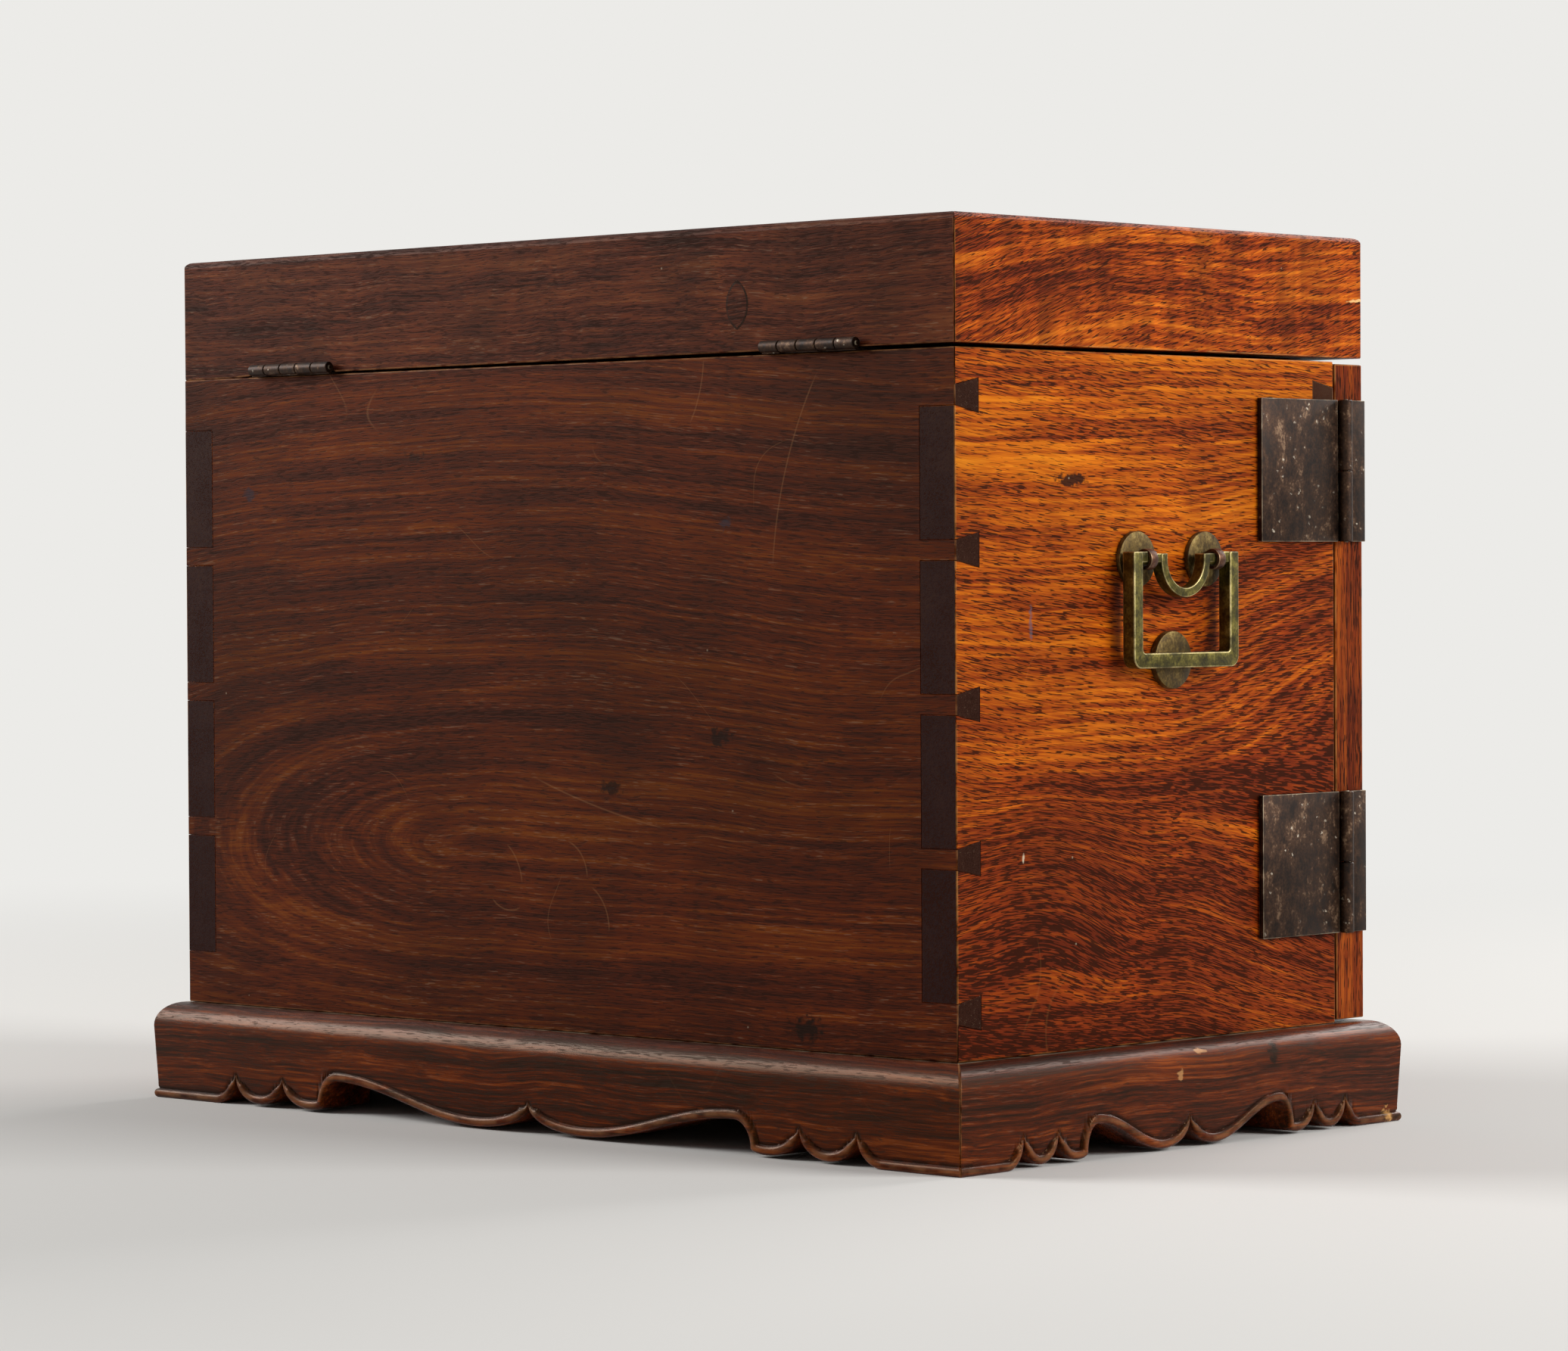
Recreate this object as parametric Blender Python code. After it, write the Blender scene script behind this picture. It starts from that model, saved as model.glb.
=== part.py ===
"""Joined hardwood table chest: dovetailed carcass on a cusped base, hinged lid, pair of doors, bail handles.

Sizes are in metres. The doors face -Y, the lid opens over the back, the origin is under the base's centre.
"""
import math

import bmesh
import bpy
from mathutils import Matrix, Vector

# Carcass boards
BODY_WIDTH = 0.400
BODY_HEIGHT = 0.241
SIDE_DEPTH = 0.207
SIDE_THICKNESS = 0.016
BACK_THICKNESS = 0.012
BOTTOM_THICKNESS = 0.010
BOTTOM_RAISE = 0.004
SHELF_THICKNESS = 0.010
SHELF_RISE = 0.082
SHELF_SETBACK = 0.003
TILL_DEPTH = 0.045
TILL_FLOOR_THICKNESS = 0.008
TILL_FRONT_THICKNESS = 0.012
GROOVE_DEPTH = 0.005

# Dovetails: pins of the back and the till front, seen end on in the side boards
PIN_COUNT = 5
PIN_INSET = 0.0162
PIN_NARROW = 0.0068
PIN_WIDE = 0.0117
TILL_PIN_COUNT = 2
TILL_PIN_INSET = 0.013

# Base rails with a rounded top edge and a cusped lower edge
BASE_HEIGHT = 0.037
BASE_OVERHANG = 0.010
BASE_RAIL_THICKNESS = 0.024
BASE_ROUND = 0.009
CUSP_HEIGHT = 0.0105
ARCH_HEIGHT = 0.0125
LOBE_LIFT = 0.001
STEP_RISE = 0.003
HEEL_RUN_PITCHES = 0.45
LAST_LOBE_PITCHES = 0.56
STEP_PITCHES = 0.86
ARCH_RUN_PITCHES = 0.30
LONG_FOOT = 0.036
LONG_CUSP_PITCH = 0.027
LONG_DROP_OFFSET = 0.028
SHORT_FOOT = 0.025
SHORT_CUSP_PITCH = 0.018
SHORT_DROP_OFFSET = 0.014

# Lid of mitred rails round a flush panel
LID_HEIGHT = 0.044
LID_RAIL_THICKNESS = 0.015
LID_PANEL_THICKNESS = 0.009
LID_REBATE = 0.007
LID_EDGE_ROUND = 0.0025

# Doors
DOOR_THICKNESS = 0.016
DOOR_BACK_GAP = 0.001
DOOR_MEETING_GAP = 0.001
DOOR_TOP_GAP = 0.0008
DOOR_FOOT_GAP = 0.001

# Door hinges, one plate on the side board and one leaf on the door's edge
PLATE_LENGTH = 0.0445
PLATE_HEIGHT = 0.0515
LEAF_THICKNESS = 0.002
LEAF_FRONT_INSET = 0.001
KNUCKLE_RADIUS = 0.0026
DOOR_PIN_RADIUS = 0.00105
UPPER_HINGE_DROP = 0.014
LOWER_HINGE_RISE = 0.033

# Lid hinges, their leaves lying in the seam
LID_HINGE_LENGTH = 0.045
LID_HINGE_INSET = 0.065
LID_KNUCKLE_COUNT = 5
LID_KNUCKLE_RADIUS = 0.0021
LID_PIN_RADIUS = 0.0009
LID_LEAF_THICKNESS = 0.0005
LID_LEAF_DEPTH = 0.010
LID_AXIS_RISE = 0.001

# Bail handles on the sides
HANDLE_DROP = 0.0717
BAIL_WIDTH = 0.0577
BAIL_DROP = 0.038
BAIL_BAR = 0.0053
BAIL_ARM = 0.0048
BAIL_DEPTH = 0.0054
BAIL_CORNER = 0.004
BAIL_INNER_CORNER = 0.0015
NECK_RADIUS = 0.002
DIP_RADIUS = 0.0133
DIP_BAND = 0.0032
DIP_DEPTH = 0.0046
ROSETTE_RADIUS = 0.0098
ROSETTE_THICKNESS = 0.0018
STRIKE_RADIUS = 0.0102
STRIKE_THICKNESS = 0.0024
EYE_WIDTH = 0.0036
EYE_WALL = 0.0013
SHANK_RADIUS = 0.0015
SHANK_COVER = 0.003

# Round plate and ring pulls at the front
LOCK_PLATE_RADIUS = 0.036
LOCK_PLATE_THICKNESS = 0.0016
LOCK_PLATE_DROP = 0.014
RING_RADIUS = 0.0105
RING_WIRE = 0.0015
RING_MEETING_SPACE = 0.0024
RING_DROP = 0.004
RING_EYE_WIDTH = 0.003
RING_EYE_WALL = 0.0011
RING_SHANK_RADIUS = 0.0012

# Clearances
JOINT_GAP = 0.0002
SEAT_GAP = 0.0002
SEAM_GAP = 0.00017
PIN_FIT = 0.0003
EYE_FIT = 0.0004
KNUCKLE_GAP = 0.0004

# How far a cutting tool runs past the board, and how far joined shapes run into each other
REACH = 0.004
WELD_DISTANCE = 0.000001

# Facets of round shapes
ROUND_SIDES = 32
BARREL_SIDES = 20
BORE_SIDES = 12
ARC_STEPS = 4
SHARP_ANGLE = math.radians(40)

# Planes and lines that the pieces share
HALF_WIDTH = BODY_WIDTH / 2
DEPTH = SIDE_DEPTH + DOOR_BACK_GAP + DOOR_THICKNESS
BACK_Y = DEPTH / 2
FRONT_Y = -DEPTH / 2
EDGE_Y = BACK_Y - SIDE_DEPTH
INNER_X = HALF_WIDTH - SIDE_THICKNESS
INNER_BACK_Y = BACK_Y - BACK_THICKNESS
BODY_LOW = BASE_HEIGHT + JOINT_GAP
BODY_TOP = BODY_LOW + BODY_HEIGHT
LID_GAP = 2 * LID_LEAF_THICKNESS + 3 * SEAM_GAP
LID_LOW = BODY_TOP + LID_GAP
LID_TOP = LID_LOW + LID_HEIGHT
LID_AXIS = Vector((0, BACK_Y + LID_KNUCKLE_RADIUS + KNUCKLE_GAP, LID_LOW + LID_AXIS_RISE))
DOOR_AXIS_OUT = KNUCKLE_RADIUS + KNUCKLE_GAP
DOOR_AXIS_Y = EDGE_Y - KNUCKLE_RADIUS - KNUCKLE_GAP - PIN_FIT
EYE_OUTER = NECK_RADIUS + EYE_FIT + EYE_WALL
ROSETTE_FACE = SEAT_GAP + ROSETTE_THICKNESS
BAIL_AXIS_OUT = ROSETTE_FACE + max(EYE_OUTER, math.hypot(BAIL_BAR, BAIL_DEPTH) / 2) + PIN_FIT
BAIL_AXIS_Z = BODY_TOP - HANDLE_DROP
SHANK_STOP_X = INNER_X + GROOVE_DEPTH + SHANK_COVER
EYE_OFFSET = (DIP_RADIUS + BAIL_WIDTH / 2 - BAIL_ARM) / 2
STRIKE_Z = BAIL_AXIS_Z - BAIL_DROP + BAIL_BAR / 2
LOCK_PLATE_Z = BODY_TOP - LOCK_PLATE_DROP
RING_OFFSET = RING_RADIUS + RING_WIRE + RING_MEETING_SPACE
RING_EYE_OUTER = RING_WIRE + EYE_FIT + RING_EYE_WALL
RING_AXIS_Y = FRONT_Y - SEAT_GAP - LOCK_PLATE_THICKNESS - RING_EYE_OUTER - PIN_FIT
RING_AXIS_Z = LOCK_PLATE_Z - RING_DROP
SIDES = {"left": -1, "right": 1}

# Turns from an outline drawn flat to a prism along each axis
PRISM_TURNS = {
    "X": Matrix(((0, 0, 1, 0), (1, 0, 0, 0), (0, 1, 0, 0), (0, 0, 0, 1))),
    "Y": Matrix(((1, 0, 0, 0), (0, 0, -1, 0), (0, 1, 0, 0), (0, 0, 0, 1))),
    "Z": Matrix.Identity(4),
}


def new_collection(name, parent):
    collection = bpy.data.collections.new(name)
    parent.children.link(collection)
    return collection


def clear_scene():
    for thing in list(bpy.data.objects):
        bpy.data.objects.remove(thing)


clear_scene()
CHEST = new_collection("table_chest", bpy.context.scene.collection)
TOOLS = new_collection("cutters", bpy.context.scene.collection)


def finish_material(name, colour, roughness, metallic):
    material = bpy.data.materials.new(name)
    material.use_nodes = True
    shader = material.node_tree.nodes["Principled BSDF"]
    shader.inputs["Base Color"].default_value = (*colour, 1)
    shader.inputs["Roughness"].default_value = roughness
    shader.inputs["Metallic"].default_value = metallic
    return material


SIDE_WOOD = finish_material("polished_side_wood", (0.230, 0.078, 0.022), 0.38, 0)
BACK_WOOD = finish_material("dark_back_wood", (0.105, 0.032, 0.012), 0.42, 0)
BASE_WOOD = finish_material("base_wood", (0.120, 0.042, 0.016), 0.40, 0)
LID_WOOD = finish_material("lid_wood", (0.200, 0.060, 0.018), 0.36, 0)
INSIDE_WOOD = finish_material("inside_wood", (0.180, 0.085, 0.035), 0.55, 0)
HINGE_BRASS = finish_material("patinated_hinge_brass", (0.230, 0.200, 0.145), 0.45, 1)
HANDLE_BRASS = finish_material("antique_handle_brass", (0.310, 0.240, 0.105), 0.38, 1)


def round_shading(mesh):
    mesh.shade_smooth()
    mesh.set_sharp_from_angle(angle=SHARP_ANGLE)


def box(name, corner, opposite):
    low = Vector(map(min, corner, opposite))
    high = Vector(map(max, corner, opposite))
    mesh = bpy.data.meshes.new(name)
    shape = bmesh.new()
    bmesh.ops.create_cube(shape, size=1)
    bmesh.ops.scale(shape, vec=high - low, verts=shape.verts)
    shape.to_mesh(mesh)
    shape.free()
    piece = bpy.data.objects.new(name, mesh)
    piece.location = (low + high) / 2
    return piece


def bar(name, radius, start, end, sides):
    start = Vector(start)
    end = Vector(end)
    mesh = bpy.data.meshes.new(name)
    shape = bmesh.new()
    length = (end - start).length
    bmesh.ops.create_cone(shape, cap_ends=True, segments=sides, radius1=radius, radius2=radius,
                          depth=length)
    shape.to_mesh(mesh)
    shape.free()
    round_shading(mesh)
    piece = bpy.data.objects.new(name, mesh)
    piece.location = (start + end) / 2
    piece.rotation_euler = (end - start).to_track_quat("Z", "Y").to_euler()
    return piece


def prism(name, outline, axis, low, high):
    curve = bpy.data.curves.new(name, "CURVE")
    curve.dimensions = "2D"
    curve.fill_mode = "BOTH"
    curve.extrude = (high - low) / 2
    spline = curve.splines.new("POLY")
    spline.points.add(len(outline) - 1)
    for point, (across, up) in zip(spline.points, outline):
        point.co = (across, up, 0, 1)
    spline.use_cyclic_u = True
    guide = bpy.data.objects.new(name + "_outline", curve)
    bpy.context.scene.collection.objects.link(guide)
    middle = Vector((0, 0, 0))
    middle["XYZ".index(axis)] = (low + high) / 2
    guide.matrix_world = Matrix.Translation(middle) @ PRISM_TURNS[axis]
    view = bpy.context.evaluated_depsgraph_get()
    mesh = bpy.data.meshes.new_from_object(guide.evaluated_get(view))
    shape = bmesh.new()
    shape.from_mesh(mesh)
    bmesh.ops.remove_doubles(shape, verts=shape.verts, dist=WELD_DISTANCE)
    bmesh.ops.recalc_face_normals(shape, faces=shape.faces)
    shape.to_mesh(mesh)
    shape.free()
    piece = bpy.data.objects.new(name, mesh)
    piece.matrix_world = guide.matrix_world
    bpy.data.objects.remove(guide)
    return piece


def combine(piece, operation, tools):
    group = new_collection(piece.name + "_" + operation.lower(), TOOLS)
    for tool in tools:
        tool.hide_render = True
        tool.display_type = "WIRE"
        group.objects.link(tool)
    modifier = piece.modifiers.new(operation.lower(), "BOOLEAN")
    modifier.operation = operation
    modifier.solver = "EXACT"
    if len(tools) == 1:
        modifier.object = tools[0]
    else:
        modifier.operand_type = "COLLECTION"
        modifier.collection = group


def place(piece, material, carrier=None):
    piece.data.materials.clear()
    piece.data.materials.append(material)
    CHEST.objects.link(piece)
    if carrier:
        piece.parent = carrier
        piece.matrix_parent_inverse = Matrix.Translation(-axis_point(carrier))
    return piece


def axis_point(carrier):
    point = Vector(carrier.location)
    if carrier.parent:
        point += axis_point(carrier.parent)
    return point


def joint_axis(name, point, carrier=None):
    empty = bpy.data.objects.new(name, None)
    empty.location = point
    CHEST.objects.link(empty)
    if carrier:
        empty.parent = carrier
        empty.location = Vector(point) - axis_point(carrier)
    return empty


def quarter(start, end, flat_start):
    points = []
    for step in range(1, ARC_STEPS + 1):
        turn = math.pi / 2 * step / ARC_STEPS
        along = math.sin(turn)
        rise = 1 - math.cos(turn)
        if not flat_start:
            along, rise = rise, along
        points.append((start[0] + (end[0] - start[0]) * along, start[1] + (end[1] - start[1]) * rise))
    return points


def pin_heights(count, inset, low, high):
    step = (high - low - 2 * inset) / max(count - 1, 1)
    return [low + inset + step * index for index in range(count)]


def pin_outline(height, inner_y, outer_y, grow, past):
    direction = math.copysign(1, outer_y - inner_y)
    slope = (PIN_NARROW - PIN_WIDE) / 2 / abs(outer_y - inner_y)
    inner = inner_y - direction * grow
    outer = outer_y + direction * past
    inner_half = PIN_WIDE / 2 + grow
    outer_half = PIN_NARROW / 2 + grow + slope * past
    return [
        (inner, height - inner_half),
        (outer, height - outer_half),
        (outer, height + outer_half),
        (inner, height + inner_half),
    ]


def back_pins(side, grow, past):
    ends = sorted((side * (INNER_X - REACH), side * (HALF_WIDTH + past)))
    heights = pin_heights(PIN_COUNT, PIN_INSET, BODY_LOW, BODY_TOP)
    outlines = [pin_outline(height, INNER_BACK_Y, BACK_Y, grow, past) for height in heights]
    return [prism("back_pin", outline, "X", *ends) for outline in outlines]


def till_pin_heights():
    low = BODY_TOP - TILL_DEPTH - TILL_FLOOR_THICKNESS
    return pin_heights(TILL_PIN_COUNT, TILL_PIN_INSET, low, BODY_TOP)


def till_pins(side, grow, past):
    ends = sorted((side * (INNER_X - REACH), side * (HALF_WIDTH + past)))
    inner = EDGE_Y + TILL_FRONT_THICKNESS
    outlines = [pin_outline(height, inner, EDGE_Y, grow, past) for height in till_pin_heights()]
    return [prism("till_pin", outline, "X", *ends) for outline in outlines]


def mitre_wedges(side, grow, past):
    diagonal = Vector((SIDE_THICKNESS, BACK_THICKNESS)).normalized()
    shift = Vector((grow / diagonal.y, 0))
    outer = Vector((HALF_WIDTH, BACK_Y)) + diagonal * past + shift
    inner = Vector((INNER_X, INNER_BACK_Y)) - diagonal * past + shift
    stop = INNER_X - REACH - past
    outline = [outer, inner, (stop, inner.y), (stop, outer.y)]
    outline = [(side * x, y) for x, y in outline]
    heights = pin_heights(PIN_COUNT, PIN_INSET, BODY_LOW, BODY_TOP)
    top = prism("mitre_top", outline, "Z", heights[-1], BODY_TOP + past)
    bottom = prism("mitre_bottom", outline, "Z", BODY_LOW - past, heights[0])
    return [top, bottom]


def board_levels():
    bottom = BODY_LOW + BOTTOM_RAISE
    shelf = bottom + BOTTOM_THICKNESS + SHELF_RISE
    till = BODY_TOP - TILL_DEPTH - TILL_FLOOR_THICKNESS
    till_front = EDGE_Y + TILL_FRONT_THICKNESS + JOINT_GAP
    return {
        "bottom_board": (bottom, BOTTOM_THICKNESS, EDGE_Y),
        "shelf": (shelf, SHELF_THICKNESS, EDGE_Y + SHELF_SETBACK),
        "till_floor": (till, TILL_FLOOR_THICKNESS, till_front),
    }


def inner_boards():
    half = INNER_X + GROOVE_DEPTH - JOINT_GAP
    rear = INNER_BACK_Y - JOINT_GAP
    for name, (low, thickness, front) in board_levels().items():
        place(box(name, (-half, front, low), (half, rear, low + thickness)), INSIDE_WOOD)


def grooves(side):
    cuts = []
    for name, (low, thickness, front) in board_levels().items():
        near = (side * (INNER_X - REACH), front - JOINT_GAP, low - JOINT_GAP)
        far = (side * (INNER_X + GROOVE_DEPTH), INNER_BACK_Y, low + thickness + JOINT_GAP)
        cuts.append(box(name + "_groove", near, far))
    return cuts


def handle_holes(side):
    holes = []
    bottom = side * (SHANK_STOP_X - PIN_FIT)
    radius = SHANK_RADIUS + PIN_FIT
    for y, z in ((-EYE_OFFSET, BAIL_AXIS_Z), (EYE_OFFSET, BAIL_AXIS_Z), (0, STRIKE_Z)):
        mouth = (side * (HALF_WIDTH + REACH), y, z)
        holes.append(bar("shank_hole", radius, (bottom, y, z), mouth, BORE_SIDES))
    return holes


def side_board(word, side):
    corner = (side * INNER_X, EDGE_Y, BODY_LOW)
    board = box("side_board_" + word, corner, (side * HALF_WIDTH, BACK_Y, BODY_TOP))
    cuts = back_pins(side, JOINT_GAP, REACH) + mitre_wedges(side, JOINT_GAP, REACH)
    cuts += till_pins(side, JOINT_GAP, REACH) + grooves(side) + handle_holes(side)
    combine(board, "DIFFERENCE", cuts)
    place(board, SIDE_WOOD)


def back_board():
    half = INNER_X - JOINT_GAP
    board = box("back_board", (-half, INNER_BACK_Y, BODY_LOW), (half, BACK_Y, BODY_TOP))
    ends = []
    for side in SIDES.values():
        ends += back_pins(side, 0, 0) + mitre_wedges(side, 0, 0)
    combine(board, "UNION", ends)
    place(board, BACK_WOOD)


def till_front():
    half = INNER_X - JOINT_GAP
    low = BODY_TOP - TILL_DEPTH - TILL_FLOOR_THICKNESS
    board = box("till_front", (-half, EDGE_Y, low), (half, EDGE_Y + TILL_FRONT_THICKNESS, BODY_TOP))
    combine(board, "UNION", till_pins(-1, 0, 0) + till_pins(1, 0, 0))
    place(board, INSIDE_WOOD)


def apron_half(half_length, foot, pitch, drop_offset):
    heel = half_length - foot
    outer_cusp = heel - HEEL_RUN_PITCHES * pitch
    inner_cusp = outer_cusp - pitch
    step = inner_cusp - STEP_PITCHES * pitch
    stops = [
        ((heel, 0), True),
        ((outer_cusp, CUSP_HEIGHT), False),
        ((outer_cusp - pitch / 2, LOBE_LIFT), True),
        ((inner_cusp, CUSP_HEIGHT), False),
        ((inner_cusp - LAST_LOBE_PITCHES * pitch, LOBE_LIFT), True),
        ((step, STEP_RISE), False),
        ((step - ARCH_RUN_PITCHES * pitch, ARCH_HEIGHT), None),
    ]
    line = [stops[0][0]]
    for (start, flat_start), (end, _) in zip(stops, stops[1:]):
        line += quarter(start, end, flat_start)
    arch = line[-1]
    for index in range(1, 2 * ARC_STEPS + 1):
        share = index / (2 * ARC_STEPS)
        swing = (1 - math.cos(math.pi * share)) / 2
        line.append((arch[0] + (drop_offset - arch[0]) * share, arch[1] + (LOBE_LIFT - arch[1]) * swing))
    return line + quarter(line[-1], (0, CUSP_HEIGHT), True)


def apron_outline(half_length, foot, pitch, drop_offset):
    half = apron_half(half_length, foot, pitch, drop_offset)
    mirrored = [(-across, up) for across, up in reversed(half[:-1])]
    heel = half[0][0]
    return [(heel, -REACH)] + half + mirrored + [(-heel, -REACH)]


def mitred_plan(half_length, outer, thickness):
    end = half_length - JOINT_GAP / 2
    far = outer + REACH
    near = outer - thickness - REACH
    return [
        (-end - REACH, far),
        (end + REACH, far),
        (end - thickness - REACH, near),
        (-end + thickness + REACH, near),
    ]


def rail_outline(face, direction, profile):
    return [(face + direction * out, up) for out, up in profile]


def mitred_rail(name, profile, along, direction, half_length, face, outer, thickness, low, high):
    # a profile swept along X or Y, with its ends cut on the mitre
    length = half_length + REACH
    rail = prism(name, rail_outline(direction * face, direction, profile), along, -length, length)
    plan = [(across, direction * out) for across, out in mitred_plan(half_length, outer, thickness)]
    if along == "Y":
        plan = [(out, across) for across, out in plan]
    combine(rail, "INTERSECT", [prism(name + "_plan", plan, "Z", low - REACH, high + REACH)])
    return rail


def base_profile():
    outer = BASE_OVERHANG
    inner = BASE_OVERHANG - BASE_RAIL_THICKNESS
    shoulder = (outer, BASE_HEIGHT - BASE_ROUND)
    crown = (outer - BASE_ROUND, BASE_HEIGHT)
    return [(inner, 0), (outer, 0), shoulder] + quarter(shoulder, crown, False) + [(inner, BASE_HEIGHT)]


def base_rails():
    long_half = HALF_WIDTH + BASE_OVERHANG
    short_half = DEPTH / 2 + BASE_OVERHANG
    long_apron = (LONG_FOOT, LONG_CUSP_PITCH, LONG_DROP_OFFSET)
    short_apron = (SHORT_FOOT, SHORT_CUSP_PITCH, SHORT_DROP_OFFSET)
    rails = {
        "base_rail_back": ("X", 1, long_half, DEPTH / 2, short_half, long_apron),
        "base_rail_front": ("X", -1, long_half, DEPTH / 2, short_half, long_apron),
        "base_rail_left": ("Y", -1, short_half, HALF_WIDTH, long_half, short_apron),
        "base_rail_right": ("Y", 1, short_half, HALF_WIDTH, long_half, short_apron),
    }
    for name, (along, direction, half_length, face, outer, apron) in rails.items():
        rail = mitred_rail(name, base_profile(), along, direction, half_length, face, outer,
                           BASE_RAIL_THICKNESS, 0, BASE_HEIGHT)
        outline = apron_outline(half_length, *apron)
        crosswise = "Y" if along == "X" else "X"
        ends = sorted((direction * (outer + REACH), direction * (outer - BASE_RAIL_THICKNESS - REACH)))
        combine(rail, "DIFFERENCE", [prism(name + "_apron", outline, crosswise, *ends)])
        place(rail, BASE_WOOD)


def lid_profile():
    rebate_floor = LID_TOP - LID_PANEL_THICKNESS - JOINT_GAP
    thickness = LID_RAIL_THICKNESS
    shoulder = (0, LID_TOP - LID_EDGE_ROUND)
    crown = (-LID_EDGE_ROUND, LID_TOP)
    inner = [
        (-thickness + LID_REBATE, LID_TOP),
        (-thickness + LID_REBATE, rebate_floor),
        (-thickness, rebate_floor),
        (-thickness, LID_LOW),
    ]
    return [(0, LID_LOW), shoulder] + quarter(shoulder, crown, False) + inner


def lid(axis):
    rails = {
        "lid_rail_back": ("X", 1, HALF_WIDTH, DEPTH / 2),
        "lid_rail_front": ("X", -1, HALF_WIDTH, DEPTH / 2),
        "lid_rail_left": ("Y", -1, DEPTH / 2, HALF_WIDTH),
        "lid_rail_right": ("Y", 1, DEPTH / 2, HALF_WIDTH),
    }
    for name, (along, direction, half_length, face) in rails.items():
        rail = mitred_rail(name, lid_profile(), along, direction, half_length, face, face,
                           LID_RAIL_THICKNESS, LID_LOW, LID_TOP)
        place(rail, LID_WOOD, axis)
    margin = LID_RAIL_THICKNESS - LID_REBATE + JOINT_GAP
    half_x = HALF_WIDTH - margin
    half_y = DEPTH / 2 - margin
    panel = box("lid_panel", (-half_x, -half_y, LID_TOP - LID_PANEL_THICKNESS), (half_x, half_y, LID_TOP))
    place(panel, LID_WOOD, axis)


def lid_leaf(name, middle, low, knuckles):
    high = low + LID_LEAF_THICKNESS
    start = middle - LID_HINGE_LENGTH / 2
    step = LID_HINGE_LENGTH / LID_KNUCKLE_COUNT
    leaf = box(name, (start, BACK_Y - LID_LEAF_DEPTH, low), (start + LID_HINGE_LENGTH, BACK_Y, high))
    joined = []
    for index in knuckles:
        left = start + step * index + KNUCKLE_GAP / 2
        right = start + step * (index + 1) - KNUCKLE_GAP / 2
        inner = BACK_Y - LID_KNUCKLE_RADIUS
        joined.append(box("lid_tab", (left, inner, low), (right, LID_AXIS.y, high)))
        ends = (left, LID_AXIS.y, LID_AXIS.z), (right, LID_AXIS.y, LID_AXIS.z)
        joined.append(bar("lid_knuckle", LID_KNUCKLE_RADIUS, *ends, BARREL_SIDES))
    combine(leaf, "UNION", joined)
    past = LID_HINGE_LENGTH / 2 + REACH
    ends = (middle - past, LID_AXIS.y, LID_AXIS.z), (middle + past, LID_AXIS.y, LID_AXIS.z)
    combine(leaf, "DIFFERENCE", [bar("lid_bore", LID_PIN_RADIUS + PIN_FIT, *ends, BORE_SIDES)])
    return leaf


def lid_hinges(axis):
    for word, side in SIDES.items():
        middle = side * (HALF_WIDTH - LID_HINGE_INSET)
        fixed = range(0, LID_KNUCKLE_COUNT, 2)
        moving = range(1, LID_KNUCKLE_COUNT, 2)
        lower = lid_leaf("lid_hinge_lower_leaf_" + word, middle, BODY_TOP + SEAM_GAP, fixed)
        place(lower, HINGE_BRASS)
        upper_low = LID_LOW - SEAM_GAP - LID_LEAF_THICKNESS
        upper = lid_leaf("lid_hinge_upper_leaf_" + word, middle, upper_low, moving)
        place(upper, HINGE_BRASS, axis)
        half = LID_HINGE_LENGTH / 2
        ends = (middle - half, LID_AXIS.y, LID_AXIS.z), (middle + half, LID_AXIS.y, LID_AXIS.z)
        place(bar("lid_hinge_pin_" + word, LID_PIN_RADIUS, *ends, BORE_SIDES), HINGE_BRASS)


def door(word, side, axis):
    low = BODY_LOW + DOOR_FOOT_GAP
    high = BODY_TOP - DOOR_TOP_GAP
    meeting = side * DOOR_MEETING_GAP / 2
    board = box("door_" + word, (side * HALF_WIDTH, EDGE_Y - DOOR_BACK_GAP, low), (meeting, FRONT_Y, high))
    x = side * RING_OFFSET
    bottom = EDGE_Y - DOOR_BACK_GAP - SHANK_COVER + PIN_FIT
    hole = bar("ring_hole", RING_SHANK_RADIUS + PIN_FIT, (x, bottom, RING_AXIS_Z),
               (x, FRONT_Y - REACH, RING_AXIS_Z), BORE_SIDES)
    combine(board, "DIFFERENCE", [hole])
    place(board, SIDE_WOOD, axis)


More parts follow.
